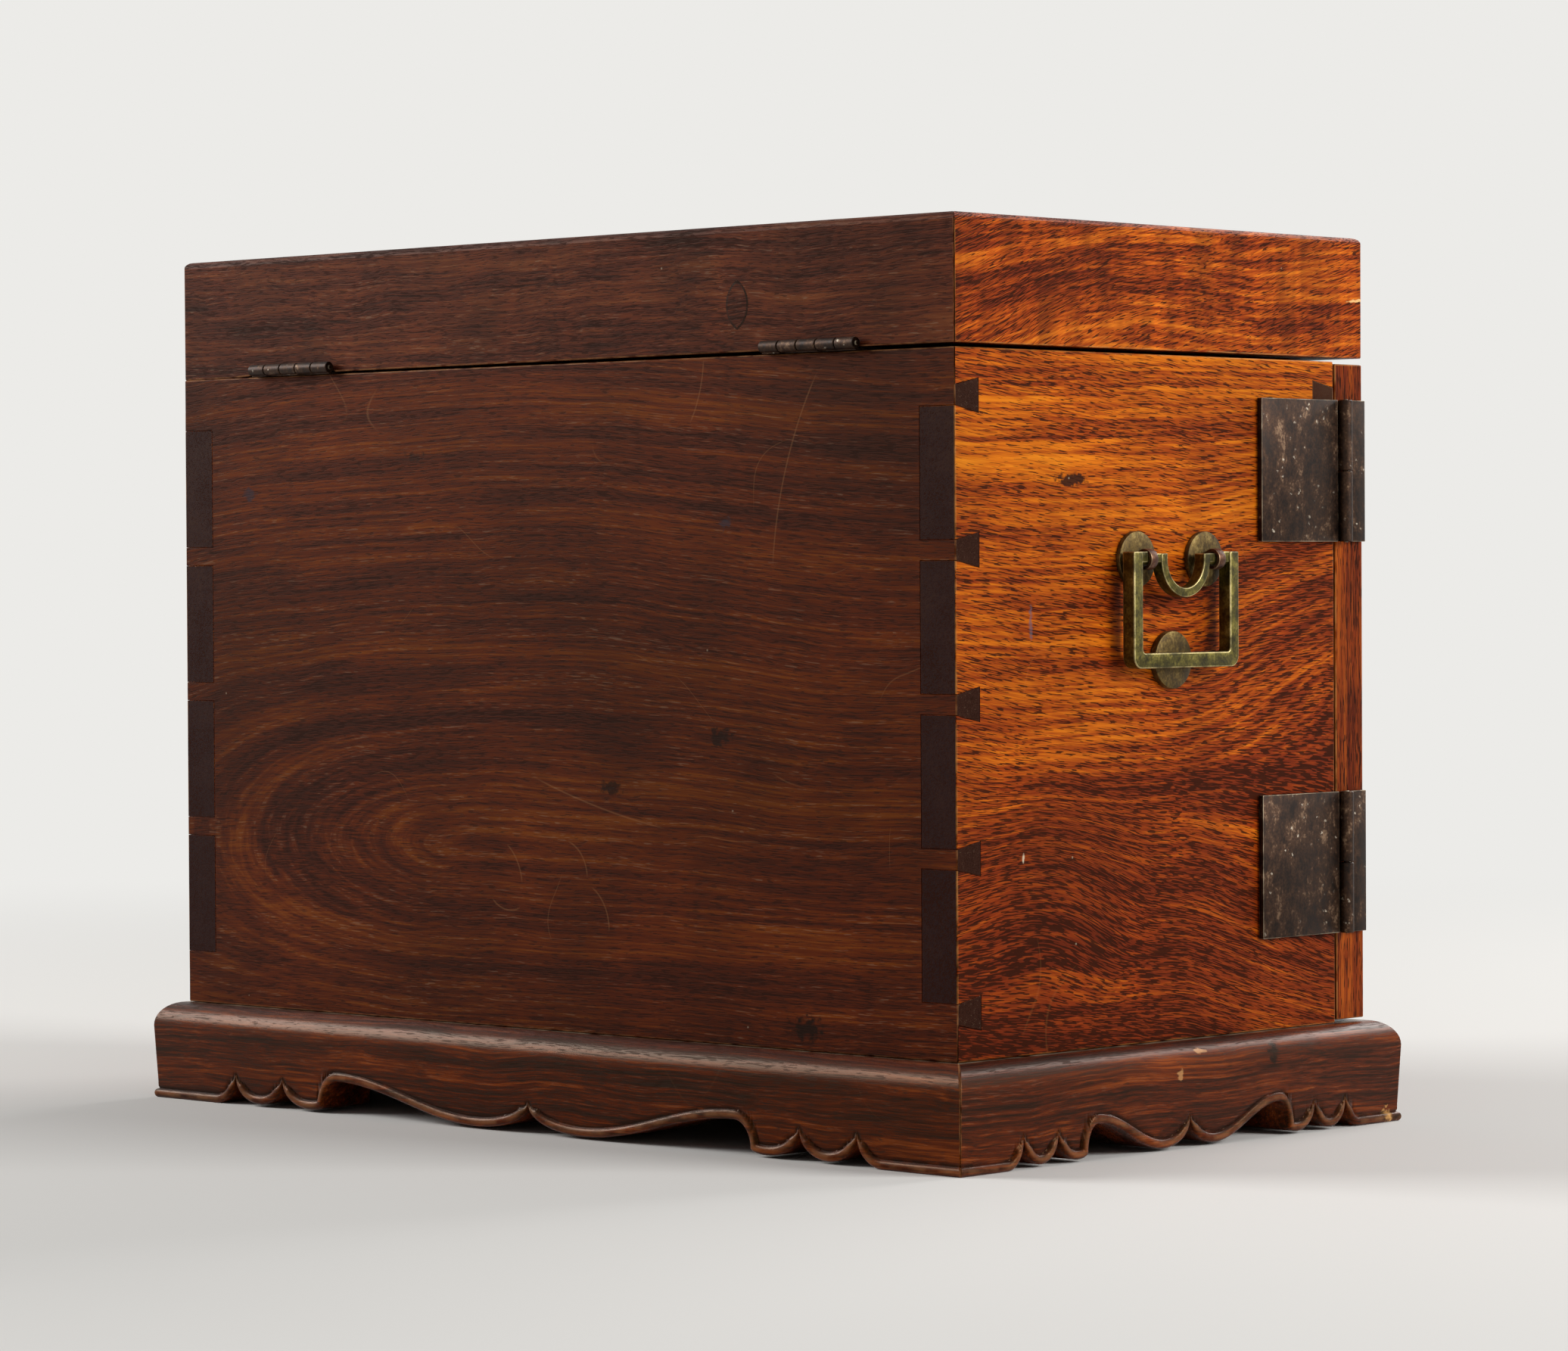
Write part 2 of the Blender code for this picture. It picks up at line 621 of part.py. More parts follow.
def door_hinge(word, side, level, low, axis):
    high = low + PLATE_HEIGHT
    split = (low + high) / 2
    x_axis = side * (HALF_WIDTH + DOOR_AXIS_OUT)
    seat = side * (HALF_WIDTH + SEAT_GAP)
    face = side * (HALF_WIDTH + SEAT_GAP + LEAF_THICKNESS)
    web = side * (HALF_WIDTH + KNUCKLE_GAP)
    name = "door_hinge_" + level + "_" + word
    bore_ends = (x_axis, DOOR_AXIS_Y, low - REACH), (x_axis, DOOR_AXIS_Y, high + REACH)

    plate = box(name + "_plate", (seat, EDGE_Y, low), (face, EDGE_Y + PLATE_LENGTH, high))
    knuckle_ends = (x_axis, DOOR_AXIS_Y, low), (x_axis, DOOR_AXIS_Y, split - KNUCKLE_GAP / 2)
    knuckle = bar("plate_knuckle", KNUCKLE_RADIUS, *knuckle_ends, BARREL_SIDES)
    plate_web = box("plate_web", (web, DOOR_AXIS_Y, low),
                    (face, EDGE_Y + LEAF_THICKNESS, split - KNUCKLE_GAP / 2))
    combine(plate, "UNION", [knuckle, plate_web])
    combine(plate, "DIFFERENCE", [bar("plate_bore", DOOR_PIN_RADIUS + PIN_FIT, *bore_ends, BORE_SIDES)])
    place(plate, HINGE_BRASS)

    leaf_rear = DOOR_AXIS_Y - KNUCKLE_RADIUS - KNUCKLE_GAP
    leaf = box(name + "_leaf", (seat, leaf_rear, low), (face, FRONT_Y + LEAF_FRONT_INSET, high))
    knuckle_ends = (x_axis, DOOR_AXIS_Y, split + KNUCKLE_GAP / 2), (x_axis, DOOR_AXIS_Y, high)
    knuckle = bar("leaf_knuckle", KNUCKLE_RADIUS, *knuckle_ends, BARREL_SIDES)
    leaf_web = box("leaf_web", (web, DOOR_AXIS_Y, split + KNUCKLE_GAP / 2),
                   (face, leaf_rear - LEAF_THICKNESS, high))
    combine(leaf, "UNION", [knuckle, leaf_web])
    combine(leaf, "DIFFERENCE", [bar("leaf_bore", DOOR_PIN_RADIUS + PIN_FIT, *bore_ends, BORE_SIDES)])
    place(leaf, HINGE_BRASS, axis)

    pin_ends = (x_axis, DOOR_AXIS_Y, low), (x_axis, DOOR_AXIS_Y, high)
    place(bar(name + "_pin", DOOR_PIN_RADIUS, *pin_ends, BORE_SIDES), HINGE_BRASS)


def eye(name, middle, outward, along, bore, wall, width, shank, shank_end):
    middle = Vector(middle)
    half = Vector(along) * width / 2
    loop = bar(name, bore + wall, middle - half, middle + half, BARREL_SIDES)
    neck = middle - Vector(outward) * (bore + wall / 2)
    combine(loop, "UNION", [bar("eye_shank", shank, neck, shank_end, BORE_SIDES)])
    past = Vector(along) * (width / 2 + REACH)
    combine(loop, "DIFFERENCE", [bar("eye_bore", bore, middle - past, middle + past, BARREL_SIDES)])
    return loop


def bail_outline():
    half = BAIL_WIDTH / 2
    inner = half - BAIL_ARM
    top = BAIL_BAR / 2
    foot = -BAIL_DROP
    floor = foot + BAIL_BAR
    right = [(half, top), (half, foot + BAIL_CORNER)]
    right += quarter(right[-1], (half - BAIL_CORNER, foot), False)
    inner_right = [(inner - BAIL_INNER_CORNER, floor)]
    inner_right += quarter(inner_right[-1], (inner, floor + BAIL_INNER_CORNER), True)
    inner_right.append((inner, top))
    left = [(-across, up) for across, up in reversed(right)]
    inner_left = [(-across, up) for across, up in reversed(inner_right)]
    return right + left + inner_left + inner_right


def dip_outline():
    inner = DIP_RADIUS - DIP_BAND
    steps = 4 * ARC_STEPS
    turns = [math.pi * index / steps for index in range(steps + 1)]
    outer_arc = [(DIP_RADIUS * math.cos(turn), -DIP_RADIUS * math.sin(turn)) for turn in turns]
    inner_arc = [(inner * math.cos(turn), -inner * math.sin(turn)) for turn in reversed(turns)]
    outer_arc = [(DIP_RADIUS, NECK_RADIUS)] + outer_arc + [(-DIP_RADIUS, NECK_RADIUS)]
    inner_arc = [(-inner, NECK_RADIUS)] + inner_arc + [(inner, NECK_RADIUS)]
    return outer_arc + inner_arc


def bail(word, side):
    x = side * (HALF_WIDTH + BAIL_AXIS_OUT)
    axis = joint_axis("bail_axis_" + word, (x, 0, BAIL_AXIS_Z))
    raised = [(across, up + BAIL_AXIS_Z) for across, up in bail_outline()]
    piece = prism("bail_" + word, raised, "X", x - BAIL_DEPTH / 2, x + BAIL_DEPTH / 2)
    raised = [(across, up + BAIL_AXIS_Z) for across, up in dip_outline()]
    joined = [prism("bail_dip", raised, "X", x - DIP_DEPTH / 2, x + DIP_DEPTH / 2)]
    for end in SIDES.values():
        start = (x, end * (DIP_RADIUS - DIP_BAND / 2), BAIL_AXIS_Z)
        stop = (x, end * (BAIL_WIDTH - BAIL_ARM) / 2, BAIL_AXIS_Z)
        joined.append(bar("bail_neck", NECK_RADIUS, start, stop, BARREL_SIDES))
    combine(piece, "UNION", joined)
    place(piece, HANDLE_BRASS, axis)


def handle_fittings(word, side):
    seat = side * (HALF_WIDTH + SEAT_GAP)
    shank_end = side * SHANK_STOP_X
    for place_word, end in (("front", -1), ("rear", 1)):
        y = end * EYE_OFFSET
        face = side * (HALF_WIDTH + ROSETTE_FACE)
        rosette = bar("rosette_" + place_word + "_" + word, ROSETTE_RADIUS, (seat, y, BAIL_AXIS_Z),
                      (face, y, BAIL_AXIS_Z), ROUND_SIDES)
        hole_ends = (seat - side * REACH, y, BAIL_AXIS_Z), (face + side * REACH, y, BAIL_AXIS_Z)
        combine(rosette, "DIFFERENCE", [bar("rosette_hole", SHANK_RADIUS + PIN_FIT, *hole_ends, BORE_SIDES)])
        place(rosette, HANDLE_BRASS)
        middle = (side * (HALF_WIDTH + BAIL_AXIS_OUT), y, BAIL_AXIS_Z)
        loop = eye("bail_eye_" + place_word + "_" + word, middle, (side, 0, 0), (0, 1, 0),
                   NECK_RADIUS + EYE_FIT, EYE_WALL, EYE_WIDTH, SHANK_RADIUS, (shank_end, y, BAIL_AXIS_Z))
        place(loop, HANDLE_BRASS)
    face = side * (HALF_WIDTH + SEAT_GAP + STRIKE_THICKNESS)
    strike = bar("strike_plate_" + word, STRIKE_RADIUS, (seat, 0, STRIKE_Z), (face, 0, STRIKE_Z), ROUND_SIDES)
    stud_start = side * (HALF_WIDTH + SEAT_GAP + STRIKE_THICKNESS / 2)
    combine(strike, "UNION", [bar("strike_stud", SHANK_RADIUS, (stud_start, 0, STRIKE_Z),
                                  (shank_end, 0, STRIKE_Z), BORE_SIDES)])
    place(strike, HANDLE_BRASS)


def lock_plate(name, corner, opposite, carrier, hole_x=None):
    rear = FRONT_Y - SEAT_GAP
    face = rear - LOCK_PLATE_THICKNESS
    ends = (0, rear, LOCK_PLATE_Z), (0, face, LOCK_PLATE_Z)
    plate = bar(name, LOCK_PLATE_RADIUS, *ends, 2 * ROUND_SIDES)
    combine(plate, "INTERSECT", [box(name + "_field", corner, opposite)])
    if hole_x is not None:
        ends = (hole_x, rear + REACH, RING_AXIS_Z), (hole_x, face - REACH, RING_AXIS_Z)
        combine(plate, "DIFFERENCE", [bar(name + "_hole", RING_SHANK_RADIUS + PIN_FIT, *ends, BORE_SIDES)])
    place(plate, HANDLE_BRASS, carrier)


def ring_pull(word, side, door_axis):
    x = side * RING_OFFSET
    shank_end = (x, EDGE_Y - DOOR_BACK_GAP - SHANK_COVER, RING_AXIS_Z)
    middle = Vector((x, RING_AXIS_Y, RING_AXIS_Z))
    loop = eye("ring_eye_" + word, middle, (0, -1, 0), (1, 0, 0), RING_WIRE + EYE_FIT, RING_EYE_WALL,
               RING_EYE_WIDTH, RING_SHANK_RADIUS, shank_end)
    place(loop, HANDLE_BRASS, door_axis)
    axis = joint_axis("ring_axis_" + word, middle, door_axis)
    bpy.ops.mesh.primitive_torus_add(major_radius=RING_RADIUS, minor_radius=RING_WIRE,
                                     major_segments=ROUND_SIDES, minor_segments=BORE_SIDES)
    ring = bpy.context.object
    ring.name = "ring_pull_" + word
    for collection in list(ring.users_collection):
        collection.objects.unlink(ring)
    ring.location = middle - Vector((0, 0, RING_RADIUS))
    ring.rotation_euler = (math.pi / 2, 0, 0)
    round_shading(ring.data)
    place(ring, HANDLE_BRASS, axis)


def front_fittings(lid_axis, door_axes):
    past = LOCK_PLATE_RADIUS + REACH
    near = FRONT_Y - past
    far = FRONT_Y + past
    lock_plate("lock_plate_lid", (-past, near, LID_LOW), (past, far, LID_LOW + past), lid_axis)
    door_top = BODY_TOP - DOOR_TOP_GAP
    for word, side in SIDES.items():
        corner = (side * DOOR_MEETING_GAP / 2, near, door_top)
        opposite = (side * past, far, LOCK_PLATE_Z - past)
        lock_plate("lock_plate_" + word, corner, opposite, door_axes[word], side * RING_OFFSET)
        ring_pull(word, side, door_axes[word])


def chest():
    inner_boards()
    back_board()
    till_front()
    base_rails()
    lid_axis = joint_axis("lid_axis", LID_AXIS)
    lid(lid_axis)
    lid_hinges(lid_axis)
    door_axes = {}
    for word, side in SIDES.items():
        side_board(word, side)
        x_axis = side * (HALF_WIDTH + DOOR_AXIS_OUT)
        door_axes[word] = joint_axis("door_axis_" + word, (x_axis, DOOR_AXIS_Y, BODY_LOW))
        door(word, side, door_axes[word])
        door_hinge(word, side, "upper", BODY_TOP - UPPER_HINGE_DROP - PLATE_HEIGHT, door_axes[word])
        door_hinge(word, side, "lower", BODY_LOW + LOWER_HINGE_RISE, door_axes[word])
        handle_fittings(word, side)
        bail(word, side)
    front_fittings(lid_axis, door_axes)


chest()
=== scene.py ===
import math
from functools import partial

import bmesh
import bpy
import numpy as np
from mathutils import Matrix, Vector
from mathutils.kdtree import KDTree


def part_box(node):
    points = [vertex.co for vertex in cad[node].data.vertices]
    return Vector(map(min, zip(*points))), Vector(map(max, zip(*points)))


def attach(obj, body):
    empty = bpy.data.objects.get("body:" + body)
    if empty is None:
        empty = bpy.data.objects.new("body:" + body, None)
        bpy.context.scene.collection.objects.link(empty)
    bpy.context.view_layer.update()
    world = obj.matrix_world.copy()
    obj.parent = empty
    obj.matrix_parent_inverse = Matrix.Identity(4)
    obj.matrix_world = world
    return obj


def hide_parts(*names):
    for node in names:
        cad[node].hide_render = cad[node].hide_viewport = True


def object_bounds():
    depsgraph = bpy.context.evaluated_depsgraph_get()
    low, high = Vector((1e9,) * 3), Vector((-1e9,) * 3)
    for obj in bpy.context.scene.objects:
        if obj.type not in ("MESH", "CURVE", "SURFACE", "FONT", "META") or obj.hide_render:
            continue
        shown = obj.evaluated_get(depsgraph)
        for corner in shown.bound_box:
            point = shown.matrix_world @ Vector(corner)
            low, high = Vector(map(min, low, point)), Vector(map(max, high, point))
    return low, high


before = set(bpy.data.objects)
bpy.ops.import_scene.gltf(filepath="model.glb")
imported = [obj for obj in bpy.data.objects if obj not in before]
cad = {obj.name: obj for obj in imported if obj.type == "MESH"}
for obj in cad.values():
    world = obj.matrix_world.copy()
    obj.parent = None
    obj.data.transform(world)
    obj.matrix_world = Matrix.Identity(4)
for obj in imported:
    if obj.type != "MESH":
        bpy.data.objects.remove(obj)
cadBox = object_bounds()
mm = 0.001
ends = {"left": -1, "right": 1}
flatAngle = math.radians(0.5)  # faces that turn less than this are one face
print("frame loaded:", len(cad), "CAD nodes")


def linear(hexText):
    channels = [int(hexText[place:place + 2], 16) / 255 for place in (1, 3, 5)]
    channels = [c / 12.92 if c <= 0.04045 else ((c + 0.055) / 1.055) ** 2.4 for c in channels]
    return (*channels, 1.0)


# inputs by place in a tuple, or by name or place in a dictionary
def setInputs(node, inputs):
    for key, value in inputs.items() if isinstance(inputs, dict) else enumerate(inputs):
        if isinstance(value, bpy.types.NodeSocket):
            node.id_data.links.new(value, node.inputs[key])
        else:
            node.inputs[key].default_value = value


def addNode(tree, kind, inputs=(), operation=None, stops=(), **settings):
    node = tree.nodes.new("ShaderNode" + kind)
    if operation:
        node.operation = operation
    for name, value in settings.items():
        setattr(node, name, value)
    setInputs(node, inputs)
    for index, (place, colour) in enumerate(stops):
        elements = node.color_ramp.elements
        element = elements[index] if index < 2 else elements.new(place)
        element.position = place
        element.color = linear(colour)
    return node.outputs


def newMaterial(name):
    material = bpy.data.materials.new(name)
    material.use_nodes = True
    tree = material.node_tree
    return material, partial(addNode, tree), tree.nodes["Principled BSDF"]


def newObject(name, data):
    thing = bpy.data.objects.new(name, data)
    bpy.context.scene.collection.objects.link(thing)
    return thing


# camera, solved from the photo's own edges
view = {
    "place": (-1.3756, 1.4312, 0.2028),
    "aim": (0.68925, -0.72427, -0.01972),
    "roll": -0.31,  # degrees
    "lens": 120.7, "sensor": 36,  # mm
}


def setCamera():
    data = bpy.data.cameras.new("photoCamera")
    data.sensor_width = view["sensor"]
    data.lens = view["lens"]
    camera = newObject("photoCamera", data)
    level = Vector(view["aim"]).to_track_quat("-Z", "Y").to_matrix().to_4x4()
    roll = Matrix.Rotation(math.radians(view["roll"]), 4, "Z")
    camera.matrix_world = Matrix.Translation(view["place"]) @ level @ roll
    bpy.context.scene.camera = camera


setCamera()

# floor and lamps, in metres and watts
studio = {
    "floor": "#e4e2de", "floorRadius": 14,
    "backdrop": "#ecebe8",  # the floor as it looks when lit
    "fadeFrom": 0.5, "fadeTo": 1.6,  # from the chest, where the floor fades into the backdrop
    "sky": 0.15,  # faint light from all round, so that the polish stays clear
    "aim": (0, 0, 0.16),
    "lamps": {
        "keyLamp": {"place": (-1.9, -0.7, 1.0), "size": 1.0, "power": 35},
        "frontLamp": {"place": (-0.1, -1.9, 1.3), "size": 1.2, "power": 24},
        "backLamp": {"place": (1.8, 1.2, 1.25), "size": 1.2, "power": 44},
    },
}


# the backdrop shows to the camera and in reflections, and lights nothing
def seenRays(add):
    path = add("LightPath")
    seen = add("Math", (path["Is Camera Ray"], path["Is Glossy Ray"]), "MAXIMUM")[0]
    return add("Math", (seen, path["Is Transmission Ray"]), "MAXIMUM")[0]


def setStudio():
    world = bpy.data.worlds.new("studioWorld")
    bpy.context.scene.world = world
    world.use_nodes = True
    world.node_tree.nodes.clear()
    add = partial(addNode, world.node_tree)
    soft = add("Background", {"Color": linear("#ffffff"), "Strength": studio["sky"]})[0]
    plain = add("Background", {"Color": linear(studio["backdrop"]), "Strength": 1.0})[0]
    sky = add("MixShader", (seenRays(add), soft, plain))[0]
    add("OutputWorld", {"Surface": sky})

    bpy.ops.mesh.primitive_circle_add(vertices=96, radius=studio["floorRadius"], fill_type="NGON")
    floor = bpy.context.object
    floor.name = "studioFloor"
    material, add, shader = newMaterial("matt pale floor paint")  # even, no gloss
    setInputs(shader, {"Base Color": linear(studio["floor"]), "Roughness": 0.9, "Specular IOR Level": 0.1})
    reach = add("VectorMath", (add("TexCoord")["Object"],), "LENGTH")["Value"]
    far = add("MapRange", (reach, studio["fadeFrom"], studio["fadeTo"]), interpolation_type="SMOOTHSTEP")[0]
    fade = add("Math", (far, seenRays(add)), "MULTIPLY")[0]
    glow = add("Emission", {"Color": linear(studio["backdrop"]), "Strength": 1.0})[0]
    mixed = add("MixShader", (fade, shader.outputs[0], glow))[0]
    setInputs(material.node_tree.nodes["Material Output"], {"Surface": mixed})
    floor.data.materials.append(material)

    for name, lamp in studio["lamps"].items():
        data = bpy.data.lights.new(name, "AREA")
        data.size = lamp["size"]
        data.energy = lamp["power"]
        thing = newObject(name, data)
        thing.location = lamp["place"]
        thing.rotation_euler = (Vector(studio["aim"]) - thing.location).to_track_quat("-Z", "Y").to_euler()
    bpy.context.scene.view_settings.view_transform = "Standard"


setStudio()
print("camera, floor and lamps set")

# what time does to every board, sizes in mm
woodWear = {
    # size and detail of each noise
    "noises": {"smoke": (110, 3), "ragged": (2.5, 2), "scratch": (90, 1), "group": (38, 1), "rub": (7, 3)},
    "ragged": 1.6, "speckSpace": 21, "speckSize": 0.5, "arcWidth": (0.45, 0.1), "arcEnd": 0.8,
    "scratchWidth": 0.0016,  # as a share of the noise
    "tipSoft": 12,  # rounds the tip of a one-sided figure
    "threadLean": 0.5,  # fibres follow half of the fan
    "layerLean": 0.12,  # growth rings lie askew in the board
    "poreEdge": 0.04, "poreDull": 0.2, "endDull": 0.1, "endCover": 0.97, "bumpHeight": 0.1 * mm,
    # noise lies round 0.5, mostly from 0.35 to 0.65: where each effect starts, and where it is full
    "figure": (0.35, 0.65), "waxRow": (0.54, 0.6), "waxPore": (0.38, 0.33), "scratchRow": (0.58, 0.64),
    "markEdge": (0.12, 0.3), "polished": (0.38, 0.62), "dull": 0.06, "shine": 0.04,
    # rubbed edges, partly painted highlight; hollows darker; dust in corners
    "rubs": {"arris": ("worn", 0.36, 0.6), "hollow": ("dirt", 0.25, 0.5), "dust": ("dust", 0.35, 0.65)},
}


def circleThrough(first, second, third):
    a, b = second - first, third - first
    aa, bb = a.length_squared, b.length_squared
    across = Vector((b.y * aa - a.y * bb, a.x * bb - b.x * aa)) / (2 * (a.x * b.y - a.y * b.x))
    return first + across, across.length


# Woods. Every board carries its own grain directions in millimetres: along, across and into the board.
def woodMaterial(wood):
    material, add, shader = newMaterial(wood["name"])
    grain = add("Attribute", attribute_name="grain")["Vector"]
    origin = Vector((*wood["origin"], 0))
    wear = woodWear
    noises = {name: add("TexNoise", {"Vector": grain, "Scale": 1 / size, "Detail": detail})
              for name, (size, detail) in wear["noises"].items()}

    # lines of growth wander, swell, and bend round the board's own centre
    wander = add("TexNoise", {"Vector": grain, "Scale": 1 / wood["wanderSize"], "Detail": 3.0})[1]
    wander = add("VectorMath", (wander, (0.5, 0.5, 0.5)), "SUBTRACT")[0]
    bent = add("VectorMath", (wander, wood["wander"], grain), "MULTIPLY_ADD")[0]
    for place, size, lift in wood["swells"]:
        heart = Vector(place) - origin
        spot = add("Mapping", {"Vector": grain, "Location": heart, "Scale": size}, vector_type="TEXTURE")[0]
        reach = add("VectorMath", (spot, spot), "DOT_PRODUCT")["Value"]
        reach = add("Math", (1.0, reach), "SUBTRACT", use_clamp=True)[0]
        reach = add("Math", (reach, 2.0), "POWER")[0]
        rise = add("VectorMath", {0: (0, -lift, 0), "Scale": reach}, "SCALE")[0]
        bent = add("VectorMath", (bent, rise), "ADD")[0]
    along, across, deep = add("SeparateXYZ", (bent,))
    run = add("Math", (along, wood["stretch"]), "MULTIPLY")[0]
    if wood["oneSided"]:
        run = add("Math", (run, 0.0, wear["tipSoft"]), "SMOOTH_MAX")[0]
    share = add("Math", (across, wood["reach"]), "DIVIDE")[0]
    reach = add("Math", (share, share), "MULTIPLY")[0]
    reach = add("Math", (reach, -0.5), "MULTIPLY")[0]
    reach = add("Math", (reach,), "EXPONENT")[0]
    run = add("Math", (run, reach), "MULTIPLY")[0]
    fine = add("Math", (along, -wood["poreSlant"], across), "MULTIPLY_ADD")[0]
    if wood["fan"]:
        lean = add("Math", (run, share), "MULTIPLY")[0]
        ring = add("Math", (across, lean), "SUBTRACT")[0]
        fine = add("Math", (lean, -wear["threadLean"], fine), "MULTIPLY_ADD")[0]
    else:
        ring = add("CombineXYZ", (run, across, wood["eye"]))[0]
        ring = add("VectorMath", (ring,), "LENGTH")["Value"]
    layer = add("Math", (across, wear["layerLean"], deep), "MULTIPLY_ADD")[0]
    growth = add("CombineXYZ", (along, ring, layer))[0]
    threads = add("CombineXYZ", (along, fine, layer))[0]  # fibres and pores bend less than the growth

    patterns = []
    for name, lines, detail, roughness in (("band", growth, 2.0, 0.5), ("streak", growth, 3.0, 0.6),
                                           ("fibre", threads, 2.0, 0.5), ("pore", threads, 0.6, 0.5)):
        length, width = wood[name]
        place = add("VectorMath", (lines, (1 / length, 1 / width, 1 / width)), "MULTIPLY")[0]
        fineness = {"Scale": 1.0, "Detail": detail, "Roughness": roughness}
        patterns.append(add("TexNoise", {"Vector": place, **fineness})[0])
    band, streak, fibre, pore = patterns
    # the tone darkens towards the bottom by the fade: partly the wood's own tone, partly painted shade where the
    # light falls off downwards
    tone = add("Math", (across, wood["fade"], wood["fadeStart"]), "MULTIPLY_ADD")[0]
    for pattern, part in zip((band, streak, fibre), wood["shares"]):
        tone = add("Math", (pattern, part, tone), "MULTIPLY_ADD")[0]
    colour = add("ValToRGB", (tone,), stops=zip(wood["levels"], wood["tones"]))[0]

    # soft figure across the grain, where the fibres lean in and out, partly the wood's own figure and partly
    # painted sheen; and clouds of smoke
    lean = add("VectorMath", (bent, wood["mottle"]), "MULTIPLY")[0]
    lean = add("TexNoise", {"Vector": lean, "Scale": 1.0, "Detail": 2.0})[0]
    depth, dark = wood["mottleDepth"], wood["smoke"]
    for cloud, least, most in ((lean, 1 - depth, 1 + depth), (noises["smoke"][0], 1 - dark, 1 + dark / 2)):
        cloud = add("MapRange", (cloud, *wear["figure"], least, most))[0]
        colour = add("VectorMath", {0: colour, "Scale": cloud}, "SCALE")[0]

    # what lies over the bare wood, in order: how much, and its colour
    # end grain, dark where the finish soaked in
    end = add("Attribute", attribute_name="endGrain")["Fac"]
    over = [(add("Math", (end, wear["endCover"]), "MULTIPLY")[0], wood["endColour"])]

    # open pores, crowded where the growth is dark; a few hold pale wax, partly painted glints along the pores
    crowd = add("Math", (band, streak), "ADD")[0]
    level = add("Math", (crowd, -wood["poreCrowd"] / 2, pore), "MULTIPLY_ADD")[0]
    level = add("Math", (across, -wood["poreFade"], level), "MULTIPLY_ADD")[0]
    start = wood["poreFrom"] - wood["poreCrowd"] / 2
    poreMask = add("MapRange", (level, start, start + wear["poreEdge"]))[0]
    over.append((add("Math", (poreMask, wood["poreDepth"]), "MULTIPLY")[0], wood["poreColour"]))
    waxRow = add("MapRange", (streak, *wear["waxRow"], 0.0, wood["wax"]))[0]
    wax = add("MapRange", (pore, *wear["waxPore"]))[0]
    over.append((add("Math", (wax, waxRow), "MULTIPLY")[0], wood["dust"]))

    # knots, stains, nicks
    ragged = add("VectorMath", (noises["ragged"][1], (0.5, 0.5, 0.5)), "SUBTRACT")[0]
    tear = (wear["ragged"], wear["ragged"], 0)
    for place, size, shade, strength in wood["marks"]:
        heart = Vector(place) - origin
        spot = add("Mapping", {"Vector": grain, "Location": heart, "Scale": size}, vector_type="TEXTURE")[0]
        spot = add("VectorMath", (ragged, tear, spot), "MULTIPLY_ADD")[0]
        mask = add("TexGradient", (spot,), gradient_type="SPHERICAL")[1]
        mask = add("Math", (mask, streak), "MULTIPLY")[0]
        over.append((add("MapRange", (mask, *wear["markEdge"], 0.0, strength))[0], shade))

    # hair scratches: a few loose ones, and named arcs
    scratch = add("Math", (noises["scratch"][0], 0.5), "SUBTRACT")[0]
    scratch = add("Math", (scratch,), "ABSOLUTE")[0]
    scratch = add("MapRange", (scratch, wear["scratchWidth"], 0.0))[0]
    group = add("MapRange", (noises["group"][0], *wear["scratchRow"], 0.0, wood["scratch"]))[0]
    scratch = add("Math", (scratch, group), "MULTIPLY")[0]
    flat = add("VectorMath", (grain, (1, 1, 0)), "MULTIPLY")[0]
    for arc in wood["arcs"]:
        first, second, third = (Vector(spot) - origin.xy for spot in arc)
        heart, radius = circleThrough(first, second, third)
        half = (third - first).length / 2
        away = add("VectorMath", (flat, (*heart, 0)), "DISTANCE")["Value"]
        away = add("Math", (away, radius), "SUBTRACT")[0]
        away = add("Math", (away,), "ABSOLUTE")[0]
        hair = add("MapRange", (away, *wear["arcWidth"], 0.0, wood["scratch"]))[0]
        near = add("VectorMath", (flat, (*((first + third) / 2), 0)), "DISTANCE")["Value"]
        near = add("MapRange", (near, half, half * wear["arcEnd"]))[0]
        hair = add("Math", (hair, near), "MULTIPLY")[0]
        scratch = add("Math", (scratch, hair), "MAXIMUM")[0]
    over.append((scratch, wood["worn"]))

    # specks where the polish is nicked
    speck = add("TexVoronoi", {"Vector": grain, "Scale": 1 / wear["speckSpace"]})["Distance"]
    rim = wear["speckSize"] / wear["speckSpace"]
    over.append((add("MapRange", (speck, rim, rim / 2, 0.0, wood["specks"]))[0], wood["dust"]))

    # what the meshes mark, broken up: pale rubbed edges, partly painted highlight, darker hollows, and dust
    for attribute, (shade, least, most) in wear["rubs"].items():
        spread = add("Attribute", attribute_name=attribute)["Fac"]
        broken = add("MapRange", (noises["rub"][0], least, most))[0]
        over.append((add("Math", (spread, broken), "MULTIPLY")[0], wood[shade]))
    for amount, shade in over:
        colour = add("Mix", {0: amount, 6: colour, 7: linear(shade)}, data_type="RGBA")[2]

    rough = wood["roughness"]
    rough = add("MapRange", (tone, *wear["polished"], rough + wear["dull"], rough - wear["shine"]))[0]
    rough = add("Math", (poreMask, wear["poreDull"], rough), "MULTIPLY_ADD")[0]
    rough = add("Math", (end, wear["endDull"], rough), "MULTIPLY_ADD")[0]
    height = add("Math", (poreMask, -1.0, fibre), "MULTIPLY_ADD")[0]
    bump = add("Bump", {"Height": height, "Strength": wood["bump"], "Distance": wear["bumpHeight"]})[0]
    setInputs(shader, {"Base Color": colour, "Roughness": rough, "Normal": bump,
                       "Specular IOR Level": wood["gloss"], "Specular Tint": linear(wood["polish"])})
    return material


